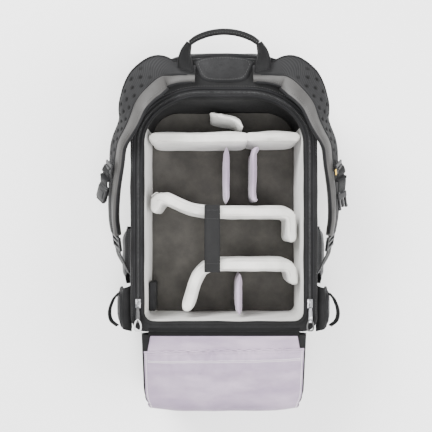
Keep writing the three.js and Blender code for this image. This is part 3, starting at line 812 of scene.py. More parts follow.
def build_yoke():
    low = corner("yoke_panel", 0, "z")
    half = corner("yoke_panel", 1, "x")
    top, bottom = corner("yoke_panel", 1, "y"), corner("yoke_panel", 0, "y")
    plan = [(-half * 0.62, bottom), (half * 0.62, bottom), (half * 0.97, bottom + 15 * MM),
            (half, top - 3 * MM),
            (0, top + 3 * MM), (-half, top - 3 * MM), (-half * 0.97, bottom + 15 * MM)]
    outline = smooth_path(plan, 96, closed=True)
    centre = outline.mean(axis=0)

    def ring(scale, up):
        return level(centre + (outline - centre) * scale, low + up * MM)

    patch = loft("yoke_patch", [ring(0.98, -1), ring(1.0, 2), ring(0.985, 4.6), ring(0.95, 5.6),
                                ring(0.9, 6.0),
                                ring(0.86, 5.4), ring(0.8, 6.4), ring(0.5, 7.6), ring(0.2, 8.0)], YOKE_CLOTH)
    settle(patch, "bag", ["yoke_panel"])
    settle(stitches("yoke_stitching", ring(0.88, 6.0)[:-1], BLACK_THREAD), "bag")
    settle(tube("yoke_piping", ring(1.0, 2.4), 1.7 * MM, BINDING, closed=True), "bag")
    arc_x = np.linspace(-88 * MM, 88 * MM, 60)
    arc = np.column_stack([arc_x, top + 6 * MM - 9 * MM * (arc_x / (88 * MM)) ** 2,
                           np.full(60, RIM_TOP + 1.5 * MM)])
    settle(tube("hood_edge_piping", arc, 2.6 * MM, BINDING), "bag")


def build_handle():
    level_z = (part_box("handle_grip")[0][2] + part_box("handle_grip")[1][2]) / 2
    points = smooth_path([(-54, 291, -0.5), (-42, 299, 0), (-22, 306, 0.3), (0, 308.5, 0.5), (22, 306, 0.3),
                          (42, 299, 0),
                          (54, 291, -0.5)], 80) * MM
    points[:, 2] += level_z
    span = np.linspace(-1, 1, 80)
    grip = tube("handle_grip_wrap", points, (4.9 - 0.9 * span**6) * MM, SHELL, up=(0, 1, 0), sides=16,
                flat=1.05)
    settle(grip, "handle", ["handle_grip"])
    settle(stitches("handle_grip_stitching", points + (0, -1.6 * MM, 4.9 * MM), BLACK_THREAD), "handle")
    for side, word in ((-1, "left"), (1, "right")):
        line = smooth_path([(side * 60, 248, -1.5), (side * 61, 262, 0.5), (side * 60, 276, 2),
                            (side * 55, 290, 0.5)], 30) * MM
        line[:, 2] += level_z
        turn = np.radians(np.linspace(4, 62, 30)) * side
        across = np.column_stack([np.cos(turn), 0.25 * side * np.ones(30), np.sin(turn)])
        half = np.interp(np.linspace(0, 1, 30), [0, 0.3, 0.75, 1], [13.5, 13, 9.5, 7.5]) * MM
        leg = ribbon(f"handle_strap_{word}", line, across, half, 3.0 * MM, SATIN_WEBBING, 1.5 * MM)
        settle(leg, "handle", [f"handle_leg_{word}"])


# ---- liner ----
def build_liner():
    def ring(offset, z):
        outline = arched(OPENING_HALF + offset, OPENING_BOTTOM - offset, OPENING_TOP + offset,
                         10 * MM + max(offset, 0),
                         (50 * MM + offset, 45 * MM + offset))
        return level(outline, z)

    heights = np.linspace(FRONT_TOP + 8 * MM, RIM_LOW - 6 * MM, 14)
    rings = [ring(6.6 * MM, FRONT_TOP + 8 * MM), ring(6.6 * MM, RIM_LOW - 2 * MM),
             ring(4.5 * MM, RIM_LOW - 0.5 * MM),
             ring(2.0 * MM, RIM_LOW - 0.8 * MM), ring(0.6 * MM, RIM_LOW - 2.5 * MM)]
    rings += [ring(0.3 * MM, z) for z in heights[::-1]]
    wall = rumple(loft("liner_wall", rings, LINER, loop=True), 0.05, 1.6 * MM, 7.0)
    wall.data.materials.append(HOOD_SHADOW_CLOTH)
    hood_shadow_from = 170 * MM
    # Liner faces further up than this take the near-black cloth as the hood's painted shadow.
    for face in wall.data.polygons:
        face.material_index = int(face.center.y > hood_shadow_from)
    settle(wall, "bag", ["liner_left", "liner_right", "liner_hood", "liner_bottom"])
    base = [ring(6 * MM, FRONT_TOP + 0.5 * MM), ring(6 * MM, FLOOR_TOP - 1.2 * MM),
            ring(4 * MM, FLOOR_TOP - 0.2 * MM)]
    base += [level(ring(4 * MM, 0)[:, :2] * share, FLOOR_TOP) for share in (0.9, 0.7, 0.5, 0.3, 0.1)]
    settle(loft("liner_floor_cloth", base, FLOOR_SHADED_LINER), "bag", ["liner_floor"])
    low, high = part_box("wall_pouch")
    pouch = rounded_block("wall_pouch_cloth", low, high, 3 * MM, SHELL_SOFT)
    settle(pouch, "bag", ["wall_pouch"])


build_shell()
build_rim()
build_yoke()
build_handle()
build_liner()


# ---- padded dividers ----
def rounded_line(points, rounds=3):
    """Cuts the corners of an open line so that its bends turn softly."""
    line = np.asarray(points, dtype=float) * MM
    for _ in range(rounds):
        near, far = line[:-1] * 0.8 + line[1:] * 0.2, line[:-1] * 0.2 + line[1:] * 0.8
        middle = np.stack([near, far], axis=1).reshape(-1, 2)
        line = np.vstack([line[:1], middle, line[-1:]])
    length = np.linalg.norm(np.diff(line, axis=0), axis=1).sum()
    return resample(line, max(8, int(length / (5 * MM))))


def wall_outline(line, half):
    """Plan outline of a padded wall with round ends; half is its half thickness at each point."""
    along = tangents(line)
    across = along @ np.array([[0, 1], [-1, 0]])
    half = np.broadcast_to(half, len(line))[:, None]
    turns = np.radians(np.linspace(-60, 60, 5))[:, None]
    tip = line[-1] + half[-1] * (np.cos(turns) * along[-1] - np.sin(turns) * across[-1]) * (1, 1)
    tail = line[0] - half[0] * (np.cos(turns) * along[0] - np.sin(turns) * across[0])
    return np.vstack([line + across * half, tip, (line - across * half)[::-1], tail])


def divider(name, points, body, node, half=8.3, material=None, ends=1.0,
            swell_cap=2.6,
            seam=True):
    line = rounded_line(points)
    share = np.abs(np.linspace(-1, 1, len(line)))
    thick = half * MM * (1 - (1 - ends) * np.clip((share - 0.72) / 0.28, 0, 1) ** 2)
    outline = wall_outline(line, thick)
    heights = np.linspace(FLOOR_TOP + 2.5 * MM, DIVIDER_TOP - 3 * MM, 14)
    wall = loft(name, [level(outline, z) for z in heights], material or LINER, fan=False)
    wall = inflate(wall, 4.5 * MM, 4.0, swell_cap * MM)
    rumple(wall, 0.03, 1.3 * MM, len(name))
    settle(wall, body, [node])
    if seam:
        inset = line[2:-2] if len(line) > 12 else line[1:-1]
        for offset in (-0.72, 0.72):
            across = tangents(inset) @ np.array([[0, 1], [-1, 0]])
            path = drop(level(resample(inset + across * offset * thick.max(), 3 * len(inset)), DIVIDER_TOP),
                        wall, 0.1 * MM)
            settle(tube(f"{name}_seam_{'near' if offset > 0 else 'far'}", path, 0.75 * MM, SEAM_GREY,
                        sides=6), body)
    return wall


def build_dividers():
    walls = {
        "upper_divider_left": ("upper_divider_long", [(-120, 150), (-40, 149.2), (38, 150.4)]),
        "upper_divider_right": ("upper_divider_short", [(43, 151), (90, 151.5), (120, 150.5)]),
        "middle_divider": ("middle_divider",
                           [(-116, 35), (-113, 58), (-50, 27.5), (30, 26.5), (106, 27), (115.5, 20),
                            (116, -16)]),
        "lower_divider": ("bag", [(-61, -134), (-40, -62), (40, -61.5), (107, -61), (115.6, -70),
                                  (116, -90)]),
    }
    for node, (body, points) in walls.items():
        divider(node + "_pad", points, body, node)
    divider("top_divider_pad", [(-24, 190), (24, 181), (29, 166)], "top_divider", "top_divider", 3.0,
            swell_cap=1.6,
            seam=False)
    divider("lilac_pad_left", [(5, 42), (4.2, 84), (5.2, 135)], "lilac_left", "lilac_divider_left", 3.6,
            LILAC_PAD,
            0.45, 1.8, seam=False)
    divider("lilac_pad_right", [(59, 134.5), (50, 132), (50.8, 86), (48.6, 47), (57, 43.5)], "lilac_right",
            "lilac_divider_right",
            3.4, LILAC_PAD, 0.55, 1.6, seam=False)
    divider("lilac_pad_lower", [(26, -145), (25.2, -110), (26.3, -78)], "lilac_lower",
            "lilac_divider_lower", 3.6, LILAC_PAD,
            0.45, 1.8, seam=False)


def build_retaining_strap():
    low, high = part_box("retaining_strap")
    x, half, z = (low[0] + high[0]) / 2, (high[0] - low[0]) / 2, low[2]
    line = np.array([(x, y, z + rise * MM) for y,
                     rise in zip(np.linspace(high[1] - 1 * MM, low[1] + 1 * MM, 40),
                    1.2 + 2.0 * np.sin(np.linspace(0, math.pi, 40)))])
    tape = ribbon("retaining_tape", line, np.tile((1, 0, 0), (40, 1)), half, 1.8 * MM, HOLD_WEBBING, 0.8 * MM)
    settle(tape, "retaining_strap", ["retaining_strap"])
    for at, word in ((3, "first"), (8, "second"), (34, "third")):
        across = np.linspace(-half * 0.9, half * 0.9, 12)
        row = np.column_stack([x + across, np.full(12, line[at][1]), np.full(12, line[at][2] + 1.9 * MM)])
        row[:, 2] -= 0.8 * MM * (across / half) ** 2
        settle(stitches(f"retaining_stitch_{word}", row, BLACK_THREAD, 3 * MM, 0.7 * MM), "retaining_strap")


build_dividers()
build_retaining_strap()


# ---- padded lid: three panels that hang from the bottom edge and fold under ----
HINGE = (BOTTOM_Y, RIM_TOP)
LID_THICKNESS = 16.4 * MM
LID_HALF = corner("lid_second_panel", 1, "x")
LID_PANELS = (130 * MM, 153 * MM)
LID_TURNS = (math.radians(20), math.radians(70), math.radians(90))
LID_BENDS = [LID_THICKNESS * turn for turn in LID_TURNS[1:]]
LID_STARTS = np.cumsum([0, LID_PANELS[0], LID_BENDS[0], LID_PANELS[1], LID_BENDS[1]])
LID_END = LID_STARTS[-1] + (corner("lid_third_panel", 1, "y") - corner("lid_third_panel", 0, "y")) + 0.4 * MM
LID_CORNER = (95 * MM, 75 * MM)
LID_HOLDS = [("lid_first", 9 * MM, 70 * MM), (("lid_first", "lid_second"), 70 * MM, 226 * MM),
             (("lid_second", "lid_third"), 226 * MM, LID_END)]


def lid_place(run, x, depth):
    """A point on the lid: run along its lining from the hinge, x across, depth in from the lining's face."""
    y, z = HINGE
    heading = math.pi + LID_TURNS[0]
    for index, turn in enumerate((0.0, *LID_TURNS[1:])):
        if index:
            bend = LID_BENDS[index - 1]
            inside = (y + LID_THICKNESS * math.sin(heading) * -1, z + LID_THICKNESS * math.cos(heading))
            share = min(max(run / bend, 0.0), 1.0)
            now = heading + turn * share
            y = inside[0] + LID_THICKNESS * math.sin(now)
            z = inside[1] - LID_THICKNESS * math.cos(now)
            heading = now
            run -= bend
            if run <= 0:
                run = 0.0
                break
        length = LID_PANELS[index] if index < 2 else 1.0
        step = min(run, length)
        y += math.cos(heading) * step
        z += math.sin(heading) * step
        run -= step
        if run <= 0:
            break
    return (x, y - depth * math.sin(heading), z + depth * math.cos(heading))


def fold_pinch(run):
    """The padding draws in where it folds under, which rounds the lid's corners as seen from above."""
    fold = (LID_STARTS[1] + LID_STARTS[2]) / 2
    return 1 - 0.05 * math.exp(-(((run - fold) / (15 * MM)) ** 2))


def lid_half(run):
    """The lid's half width: straight sides, then broad round corners at the free end."""
    into = np.clip((run - (LID_END - LID_CORNER[1])) / LID_CORNER[1], 0, 1)
    return LID_HALF * fold_pinch(run) - LID_CORNER[0] * (1 - math.sqrt(max(0.0, 1 - into * into)))


def lid_hold(obj, hold, replaces=()):
    """Panel one rides its body; the other two stretches are baked in place and do not bend across their fold.
    """
    if isinstance(hold, str):
        return settle(obj, hold, replaces)
    fold = 0 if hold[0] == "lid_first" else 1
    start = lid_place(LID_STARTS[1 + 2 * fold], 0, 0.4 * MM)
    end = lid_place(LID_STARTS[2 + 2 * fold], 0, 0.4 * MM)
    return settle(obj, (*hold, start, end), replaces)


def lid_loft(name, first, last, material, section, step=4 * MM):
    """Closed skin along the lid; section(run) lists (x, depth) round its edge."""
    runs = np.linspace(first, last, max(6, int((last - first) / step)))
    return loft(name, [[lid_place(run, x, depth) for x, depth in section(run)] for run in runs], material)


def padding_section(run):
    half = max(lid_half(run), 20 * MM)
    columns = np.linspace(-1, 1, 25)
    plump = lambda x: 7.9 * MM * (1 - 0.55 * abs(x) ** 10)
    middle = 8.35 * MM
    return ([(half * x, middle - plump(x)) for x in columns]
            + [(half * x, middle + plump(x)) for x in columns[::-1]])


def lining_half(run):
    return min(np.interp(run, [9 * MM, 34 * MM, 80 * MM], [118 * MM, 123 * MM, 126 * MM]),
               max(lid_half(run) - 7 * MM, 12 * MM))


def lining_section(run):
    half = lining_half(run)
    columns = np.linspace(-1, 1, 49)
    crease = lambda x: 0.9 * MM * noise.noise(Vector((half * x / (26 * MM), run / (17 * MM), 3.0)))
    face = [(half * x, -0.5 * MM - abs(crease(x)) * (1 - x**6)) for x in columns]
    return face + [(half * x, 0.9 * MM) for x in columns[::-1]]


POCKET_MOUTH, POCKET_END = 34 * MM, 300 * MM
POCKET_HALF = 129 * MM


def pocket_depth(run, x):
    """How far the pocket's cloth stands off the lining: full in the middle, gathered at its mouth."""
    share = x / POCKET_HALF
    into = (run - POCKET_MOUTH) / (POCKET_END - POCKET_MOUTH)
    side = 1 - abs(share) ** 4
    belly = 4.5 * MM * math.sin(math.pi * np.clip((run - POCKET_MOUTH) / (118 * MM), 0, 1))
    full = (6.0 * MM + belly) * side * min(1,
                                           into / 0.12) ** 0.7 * (1 - np.clip((into - 0.9) / 0.1, 0, 1) ** 2)
    fade = math.exp(-max(0.0, run - POCKET_MOUTH) / (26 * MM))
    wander = 1.2 * noise.noise(Vector((x / (30 * MM), run / (60 * MM), 1.0)))
    gathers = 1.7 * MM * fade * math.sin(2 * math.pi * x / (17 * MM) + 2.6 * wander) * side
    drag = 1.8 * MM * noise.noise(Vector((x / (48 * MM) + run / (90 * MM), run / (26 * MM), 7.0))) * side
    return -(1.6 * MM + full + gathers + drag)


def pocket_place(run, x, lift=0.0):
    """The mouth droops a little to one side, as the lining does at rest."""
    x = x * fold_pinch(run)
    slant = 3.0 * MM * x / POCKET_HALF * math.exp(-max(0.0, run - POCKET_MOUTH) / (60 * MM))
    return lid_place(run - slant, x, pocket_depth(run, x) - lift)


def build_pocket(hold, first, last, index):
    words = ("first", "second", "third")
    first, last = max(first, POCKET_MOUTH), min(last, POCKET_END)
    if last <= first:
        return
    runs = np.linspace(first, last, max(8, int((last - first) / (2.5 * MM))))
    columns = np.linspace(-POCKET_HALF, POCKET_HALF, 161)
    rings = []
    for run in runs:
        top = [pocket_place(run, x, 0.5 * MM) for x in columns]
        low = [pocket_place(run, x, -0.7 * MM) for x in columns[::-1]]
        rings.append(top + low)
    cloth = loft(f"lid_pocket_cloth_{words[index]}", rings, LILAC)
    nodes = {0: ["lid_pocket_first"], 1: ["lid_pocket_second"]}.get(index, [])
    lid_hold(cloth, hold, nodes)
    last - first
    for side, word in ((-1, "left"), (1, "right")):
        line = [pocket_place(run, side * (POCKET_HALF - 3 * MM), 0.9 * MM)
                for run in resample(runs[:, None], 60)[:, 0]]
        lid_hold(stitches(f"pocket_side_stitch_{words[index]}_{word}", line, WHITE_THREAD, 3.4 * MM,
                          1.3 * MM), hold)
    if index == 0:
        for name, run, radius in (("mouth_roll", POCKET_MOUTH, 1.5),
                                  ("mouth_tape", POCKET_MOUTH + 5 * MM, 0.8)):
            line = [pocket_place(run, x, 0.6 * MM) for x in columns]
            lid_hold(tube(f"pocket_{name}", line, radius * MM, LILAC), hold)
        for name, run in (("upper", 16 * MM), ("lower", 18.4 * MM)):
            line = [pocket_place(POCKET_MOUTH + run, x, 0.9 * MM) for x in columns[4:-4]]
            lid_hold(stitches(f"pocket_hem_stitch_{name}", line, WHITE_THREAD, 3.2 * MM, 1.4 * MM), hold)


def back_pad(name, first, last, half, body, node):
    """Air-mesh cushion on the outer side, with two channels across it."""
    def section(run):
        ends = min(1, (run - first) / (8 * MM), (last - run) / (8 * MM))
        across = abs(math.sin(math.pi * (run - first) / ((last - first) / 3))) ** 0.35
        lift = 7.6 * MM * (0.35 + 0.65 * math.sqrt(max(0.0, ends))) * (0.7 + 0.3 * across)
        columns = np.linspace(-1, 1, 33)
        base = LID_THICKNESS + 0.1 * MM
        return ([(half * x, base) for x in columns]
                + [(half * x, base + 0.5 * MM + lift * (1 - abs(x) ** 9)) for x in columns[::-1]])

    pad = lid_loft(name + "_cushion", first, last, BACK_MESH, section, 3 * MM)
    settle(pad, body, [node])


def build_lid():
    words = ("first", "second", "third")
    for index, (hold, first, last) in enumerate(LID_HOLDS):
        word = words[index]
        padding = rumple(lid_loft(f"lid_padding_{word}", first, last, SHELL, padding_section), 0.05,
                         0.5 * MM, 4.0)
        lid_hold(padding, hold, [f"lid_{word}_panel"])
        end = min(last, LID_END - 7 * MM)
        lining = lid_loft(f"lid_lining_{word}", first, end, LILAC, lining_section, 3 * MM)
        lid_hold(lining, hold)
        build_pocket(hold, first, last, index)
        crowded = np.linspace(1, 0, 140) ** 1.6
        runs = np.linspace(first, last, 70) if index < 2 else LID_END - (LID_END - first) * crowded
        for side, name in ((-1, "left"), (1, "right")):
            edge = [lid_place(run, side * (max(lid_half(run), 20 * MM) + -0.6 * MM), 8.5 * MM)
                    for run in runs]
            lid_hold(tube(f"lid_binding_{word}_{name}", edge, 2.6 * MM, BINDING, up=(side, 0, 0)), hold)
            teeth = [lid_place(run, side * (max(lid_half(run), 20 * MM) + 1.6 * MM), 11 * MM) for run in runs]
            lid_hold(along_path(f"lid_coil_{word}_{name}", teeth, 2.6 * MM, (1.2 * MM, 1.6 * MM, 3.4 * MM),
                                COIL), hold)
    tip = [lid_place(LID_END, x, 6 * MM) for x in np.linspace(-38 * MM, 38 * MM, 30)]
    lid_hold(tube("lid_binding_tip", tip, 2.8 * MM, BINDING, up=(0, 0, 1)), LID_HOLDS[2][0])
    rows = [(y, z) for y, z in ((BOTTOM_Y + 5 * MM, RIM_TOP - 0.5 * MM),
                                (BOTTOM_Y + 1.5 * MM, RIM_TOP + 0.6 * MM))]
    rows += [lid_place(run * MM, 0, depth * MM)[1:] for run,
             depth in ((1.5, 0.4), (5, 0.6), (9, 0.9), (13, 1.6))]
    path = smooth_path(rows, 14)
    points = np.column_stack([np.zeros(14), path])
    hinge = ribbon("lid_hinge_cloth", points, np.tile((1, 0, 0), (14, 1)), 121 * MM, 1.4 * MM, HINGE_SHADED_NYLON)
    settle(hinge, ("bag", "lid_first", (0, BOTTOM_Y + 1 * MM, RIM_TOP), lid_place(9 * MM, 0, 0)))
    back_pad("back_pad_first", 20 * MM, 115.5 * MM, 106 * MM, "lid_first", "back_pad_first")
    second = LID_STARTS[2]
    back_pad("back_pad_second", second + 14.5 * MM, second + 138.5 * MM, 106 * MM, "lid_second",
             "back_pad_second")
    third = LID_STARTS[4]
    back_pad("back_pad_third", third + 14.5 * MM, third + 79 * MM, 64 * MM, "lid_third", "back_pad_third")


build_lid()


# ---- shoulder straps ----
# Out from the rim's edge, along the bag, up from the rim, half width (mm) and lean (degrees).
PAD_STATIONS = [
    (-104, 245, 8, 13, 0), (-86, 246, 8, 15, 0), (-69, 246, 9.5, 18, 1), (-48, 244, 16, 29, 6),
    (-27, 226, 20, 33, 18),
    (-9, 198, 20, 32, 38), (2, 166, 11, 29, 50), (18, 135, -6, 26, 56), (25, 100, -23, 24, 58),
    (31, 60, -42, 22, 64),
    (34, 20, -60, 19, 66), (32, -8, -72, 15, 66),
]


def strap_frames(stations, side, count):
    """Even places along a strap: middle, direction across, direction out, half width."""
    rows = smooth_path([(x, y, z) for x, y, z, _, _ in stations], count)
    raw = np.array(stations, dtype=float)
    marks = np.concatenate([[0], np.cumsum(np.linalg.norm(np.diff(raw[:, :3], axis=0), axis=1))])
    wanted = np.linspace(0, marks[-1], count)
    half = np.interp(wanted, marks, raw[:, 3]) * MM
    lean = np.radians(np.interp(wanted, marks, raw[:, 4]))
    middle = np.column_stack([side * (RIM_HALF + rows[:, 0] * MM), rows[:, 1] * MM,
                              RIM_TOP + rows[:, 2] * MM])
    kernel = np.hanning(11) / np.hanning(11).sum()
    soften = lambda values: np.convolve(np.pad(values, 5, mode="edge"), kernel, mode="valid")
    half, lean = soften(half), soften(lean)
    along = tangents(middle)
    flat = unit(np.column_stack([-along[:, 1], along[:, 0], np.zeros(count)])) * side
    across = np.array([turned(start, axis, -turn * side) for axis, start, turn in zip(along, flat, lean)])
    out = np.cross(across, along)
    out *= np.sign(out[:, 2:3])
    return middle, across, out, half


def turned(vector, axis, angle):
    """The vector turned about an axis."""
    return (vector * math.cos(angle) + np.cross(axis, vector) * math.sin(angle)
            + axis * np.dot(axis, vector) * (1 - math.cos(angle)))


def build_pad(side, word):
    count, columns = 230, 45
    middle, across, out, half = strap_frames(PAD_STATIONS, side, count)
    inner = -1 if np.dot(across[100], (side, 0, 0)) > 0 else 1
    places = np.concatenate([[0], np.cumsum(np.linalg.norm(np.diff(middle, axis=0), axis=1))])
    shares = np.linspace(-1, 1, columns)
    satin_at = np.clip((shares * inner - 0.20) / 0.04, 0, 1)
    rings, satins, dimple_shade_depths = [], [], []
    pitch = 18.5 * MM
    for row in range(count):
        top, low = [], []
        satin_row, shade_dips = [], []
        after_start = np.clip((places[row] - 62 * MM) / (20 * MM), 0, 1)
        before_end = np.clip((0.25 - places[row]) / 0.07, 0, 1)
        begun = after_start * before_end
        for at, share in enumerate(shares):
            edge = 1 - 0.72 * abs(share) ** 6
            dip = 0.0
            for index, column in enumerate((0.02, 0.38, 0.72)):
                across_gap = (share * inner * -1 - column) * half[row]
                shift = places[row] + (pitch / 2 if index == 1 else 0)
                run_gap = (shift + pitch / 2) % pitch - pitch / 2
                dip = max(dip, 1 - (math.hypot(across_gap, run_gap) / (3.4 * MM)) ** 4)
            dip = max(0.0, dip) * begun
            ridge = 0.9 * MM * math.exp(-(((share * inner - 0.22) * half[row]) / (1.4 * MM)) ** 2)
            uneven = 0.8 * MM * noise.noise(Vector((share, places[row] / 0.03, side)))
            lift = 6.6 * MM * edge - 1.9 * MM * dip - ridge + uneven
            base = middle[row] + across[row] * share * half[row]
            top.append(base + out[row] * lift)
            low.append(base - out[row] * 6.2 * MM * edge)
            satin_row.append(satin_at[at])
            shade_dips.append(dip)
        rings.append(top + low[::-1])
        satins += satin_row + satin_row[::-1]
        dimple_shade_depths += shade_dips + [0.0] * columns
    pad = loft(f"shoulder_pad_{word}_cover", rings, STRAP)
    # The dimples' depth goes onto the cover as an attribute that darkens them as painted shade.
    for name, values in (("satin", satins), ("dimple_shade", dimple_shade_depths)):
        layer = pad.data.attributes.new(name, "FLOAT", "POINT")
        filled = np.zeros(len(pad.data.vertices), dtype=np.float32)
        filled[:len(values)] = values
        layer.data.foreach_set("value", filled)
    hold = ("bag", f"strap_{word}", (side * 62 * MM, 0.246, RIM_TOP), (side * 96 * MM, 0.246, RIM_TOP))
    settle(pad, hold, [f"shoulder_pad_{word}", f"strap_root_{word}"])
    for place, radius, shift, lift in (("outer", 2.6, -1.0, 1.0), ("inner", 2.3, 1.0, 1.0),
                                       ("back", 2.3, -1.0, -3.6)):
        edge = middle + across * (inner * shift * half)[:, None] * 1.0 + out * lift * MM
        settle(tube(f"shoulder_binding_{word}_{place}", edge[3:-3], radius * MM, BINDING, up=(0.1, 0.2, 1)),
               hold)
    seam = middle + across * (inner * 0.25 * half)[:, None] + out * 6.5 * MM
    settle(tube(f"shoulder_seam_{word}", seam[8:-4], 0.9 * MM, BINDING, up=(0.1, 0.2, 1), sides=6), hold)
    for number, share in ((1, 0.33), (2, 0.84)):
        line = middle + across * (inner * share * half)[:, None] + out * (6.9 - 2.2 * share**6) * MM
        settle(stitches(f"shoulder_stitches_{word}_{number}", line[10:-4], SEAM_DARK, 3.6 * MM, 0.8 * MM),
               hold)
    return middle, across, out, half


def framed_block(name, place, axes, size, radius, material):
    """A rounded block set on three directions; size is its full length on each."""
    block = rounded_block(name, [-s / 2 for s in size], [s / 2 for s in size], radius, material)
    basis = np.column_stack([unit(np.asarray(axis)) for axis in axes])
    points = np.array([v.co[:] for v in block.data.vertices]) @ basis.T + np.asarray(place)
    block.data.vertices.foreach_set("co", points.ravel())
    block.data.update()
    return outward(block)


def build_adjuster(side, word, frames):
    body = f"strap_{word}"
    low, high = (np.array(end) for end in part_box(f"strap_adjuster_{word}"))
    middle, across, out, _ = frames
    side_way, up, along = across[-1], out[-1], tangents(middle)[-1]
    centre = (low + high) / 2
    ladder = [framed_block(f"adjuster_bar_{word}_{index}", centre + along * shift * MM, (side_way, along, up),
                           (33 * MM, 3.6 * MM, 4.6 * MM), 1.2 * MM, PLASTIC) for index,
                           shift in enumerate((-11, -2, 9))]
    ladder += [framed_block(f"adjuster_rail_{word}_{index}", centre + side_way * shift * MM - along * 1 * MM,
                            (side_way, along, up), (3.4 * MM, 25 * MM, 4.8 * MM), 1.2 * MM, PLASTIC)
               for index, shift in enumerate((-15.6, 15.6))]
    settle(join(f"ladder_adjuster_{word}", ladder), body, [f"strap_adjuster_{word}"])
    first = [middle[-1] - along * 6 * MM, middle[-1] + along * 10 * MM, centre - up * 2.5 * MM,
             centre + along * 14 * MM]
    tongue = smooth_path(first, 26)
    settle(ribbon(f"adjuster_webbing_{word}", tongue, np.tile(side_way, (26, 1)), 12.5 * MM, 2.2 * MM,
                  WEBBING), body)
    ends = [(31.5, -30, -80, 66), (29, -44, -84.5, 67), (24, -56, -88.5, 70), (16, -72, -91, 76),
            (9, -82, -92, 80)]
    line = np.array([(side * (RIM_HALF + x * MM), y * MM, RIM_TOP + z * MM) for x, y, z, _ in ends])
    path = smooth_path(line, 40)
    lean = np.radians(np.interp(np.linspace(0, 1, 40), np.linspace(0, 1, 5), [row[3] for row in ends]))
    wide = [turned(unit(np.array((-a[1], a[0], 0)) * side), a, -turn * side) for a,
            turn in zip(tangents(path), lean)]
    lower = ribbon(f"lower_webbing_{word}_tape", path, wide, 12.5 * MM, 2.2 * MM, WEBBING)
    settle(lower, (body, "bag", line[0], line[3]), [f"lower_webbing_{word}"])


def build_chest(side, word, frames):
    body = f"chest_{word}"
    middle, across, out, _ = frames
    at = int(np.argmin(np.abs(middle[:, 1] - 99 * MM)))
    side_way, up, along = across[at], out[at], tangents(middle)[at]
    clip_low, clip_high = (np.array(end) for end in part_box(f"chest_clip_{word}"))
    clip = (clip_low + clip_high) / 2
    slider = [framed_block(f"chest_plate_{word}", clip, (side_way, along, up), (25 * MM, 17 * MM, 3.4 * MM),
                           1.4 * MM, PLASTIC),
              framed_block(f"chest_rib_{word}", clip + up * 2.4 * MM, (side_way, along, up),
                           (19 * MM, 4 * MM, 3 * MM),
                           1.2 * MM, PLASTIC)]
    settle(join(f"chest_slider_{word}", slider), body, [f"chest_clip_{word}"])
    node = "buckle_socket" if side < 0 else "buckle_prong"
    end_low, end_high = (np.array(end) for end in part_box(node))
    buckle = (end_low + end_high) / 2
    down = unit(buckle - clip)
    wide = unit(np.cross(down, (side * 0.55, 0.1, 0.83)))
    face = unit(np.cross(wide, down))
    face = face if face[2] > 0 else -face
    zigzag = [clip + face * 2 * MM, clip + down * 10 * MM + face * 4.5 * MM,
              clip + down * 16 * MM + face * 1 * MM,
              clip + down * 24 * MM + face * 4.0 * MM, buckle - down * 14 * MM, buckle - down * 8 * MM]
    path = smooth_path(zigzag, 44)
    settle(ribbon(f"chest_tape_{word}", path, np.tile(wide, (44, 1)), 9.5 * MM, 2.0 * MM, WEBBING), body,
           [f"chest_webbing_{word}"])
    keeper = framed_block(f"chest_keeper_{word}", clip + down * 20 * MM + face * 2.5 * MM, (wide, down, face),
                          (21.5 * MM, 5 * MM, 6.5 * MM), 1.3 * MM, BINDING)
    settle(keeper, body)
    axes = (wide, down, face)

    def moulding(part, forward, size, radius, lift=0.0):
        """One block of the buckle, so far along the strap from the buckle's middle."""
        centre = buckle + down * forward * MM + face * lift * MM
        return framed_block(part, centre, axes, tuple(length * MM for length in size), radius * MM, PLASTIC)

    if side < 0:
        parts = [moulding("socket_body", -1, (23, 25, 7.5), 2.4),
                 moulding("socket_mouth", 12.5, (19, 5, 6.5), 1.5),
                 moulding("socket_bar", -15, (22, 4, 4.5), 1.4),
                 moulding("socket_ridge", 0, (12, 15, 2.2), 0.9, lift=3.6)]
    else:
        parts = [moulding("prong_base", -8, (20, 11, 5.5), 1.8),
                 moulding("prong_middle", 5, (4.6, 17, 3.6), 1.1)]
        for way in (-1, 1):
            parts.append(framed_block(f"prong_arm_{way}", buckle + wide * way * 7.4 * MM + down * 6 * MM,
                                      axes,
                                      (3.6 * MM, 21 * MM, 4.2 * MM), 1.2 * MM, PLASTIC))
            parts.append(framed_block(f"prong_hook_{way}", buckle + wide * way * 8.4 * MM + down * 14 * MM,
                                      axes,
                                      (4.4 * MM, 5 * MM, 4.2 * MM), 1.4 * MM, PLASTIC))
    settle(join(f"{node}_moulding", parts), body, [node])
    if side > 0:
        tag = framed_block("yellow_tag", clip + side_way * -13 * MM + along * 3 * MM, (side_way, along, up),
                           (6 * MM, 9 * MM, 1.2 * MM), 0.5 * MM, YELLOW)
        settle(tag, body)
        turn = np.linspace(0, 2 * math.pi, 28, endpoint=False)
        ring = np.array([buckle - down * 17 * MM + wide * math.cos(a) * 7.5 * MM
                         + down * math.sin(a) * 5 * MM for a in turn])
        settle(tube("chest_ring", ring, 1.3 * MM, METAL, up=face, closed=True), body)


SEAM_DARK = thread("dark_grey_thread", (0.10, 0.10, 0.10), (0.04, 0.04, 0.04))

for SIDE, WORD in ((-1, "left"), (1, "right")):
    STRAP_FRAMES = build_pad(SIDE, WORD)
    build_adjuster(SIDE, WORD, STRAP_FRAMES)
    build_chest(SIDE, WORD, STRAP_FRAMES)


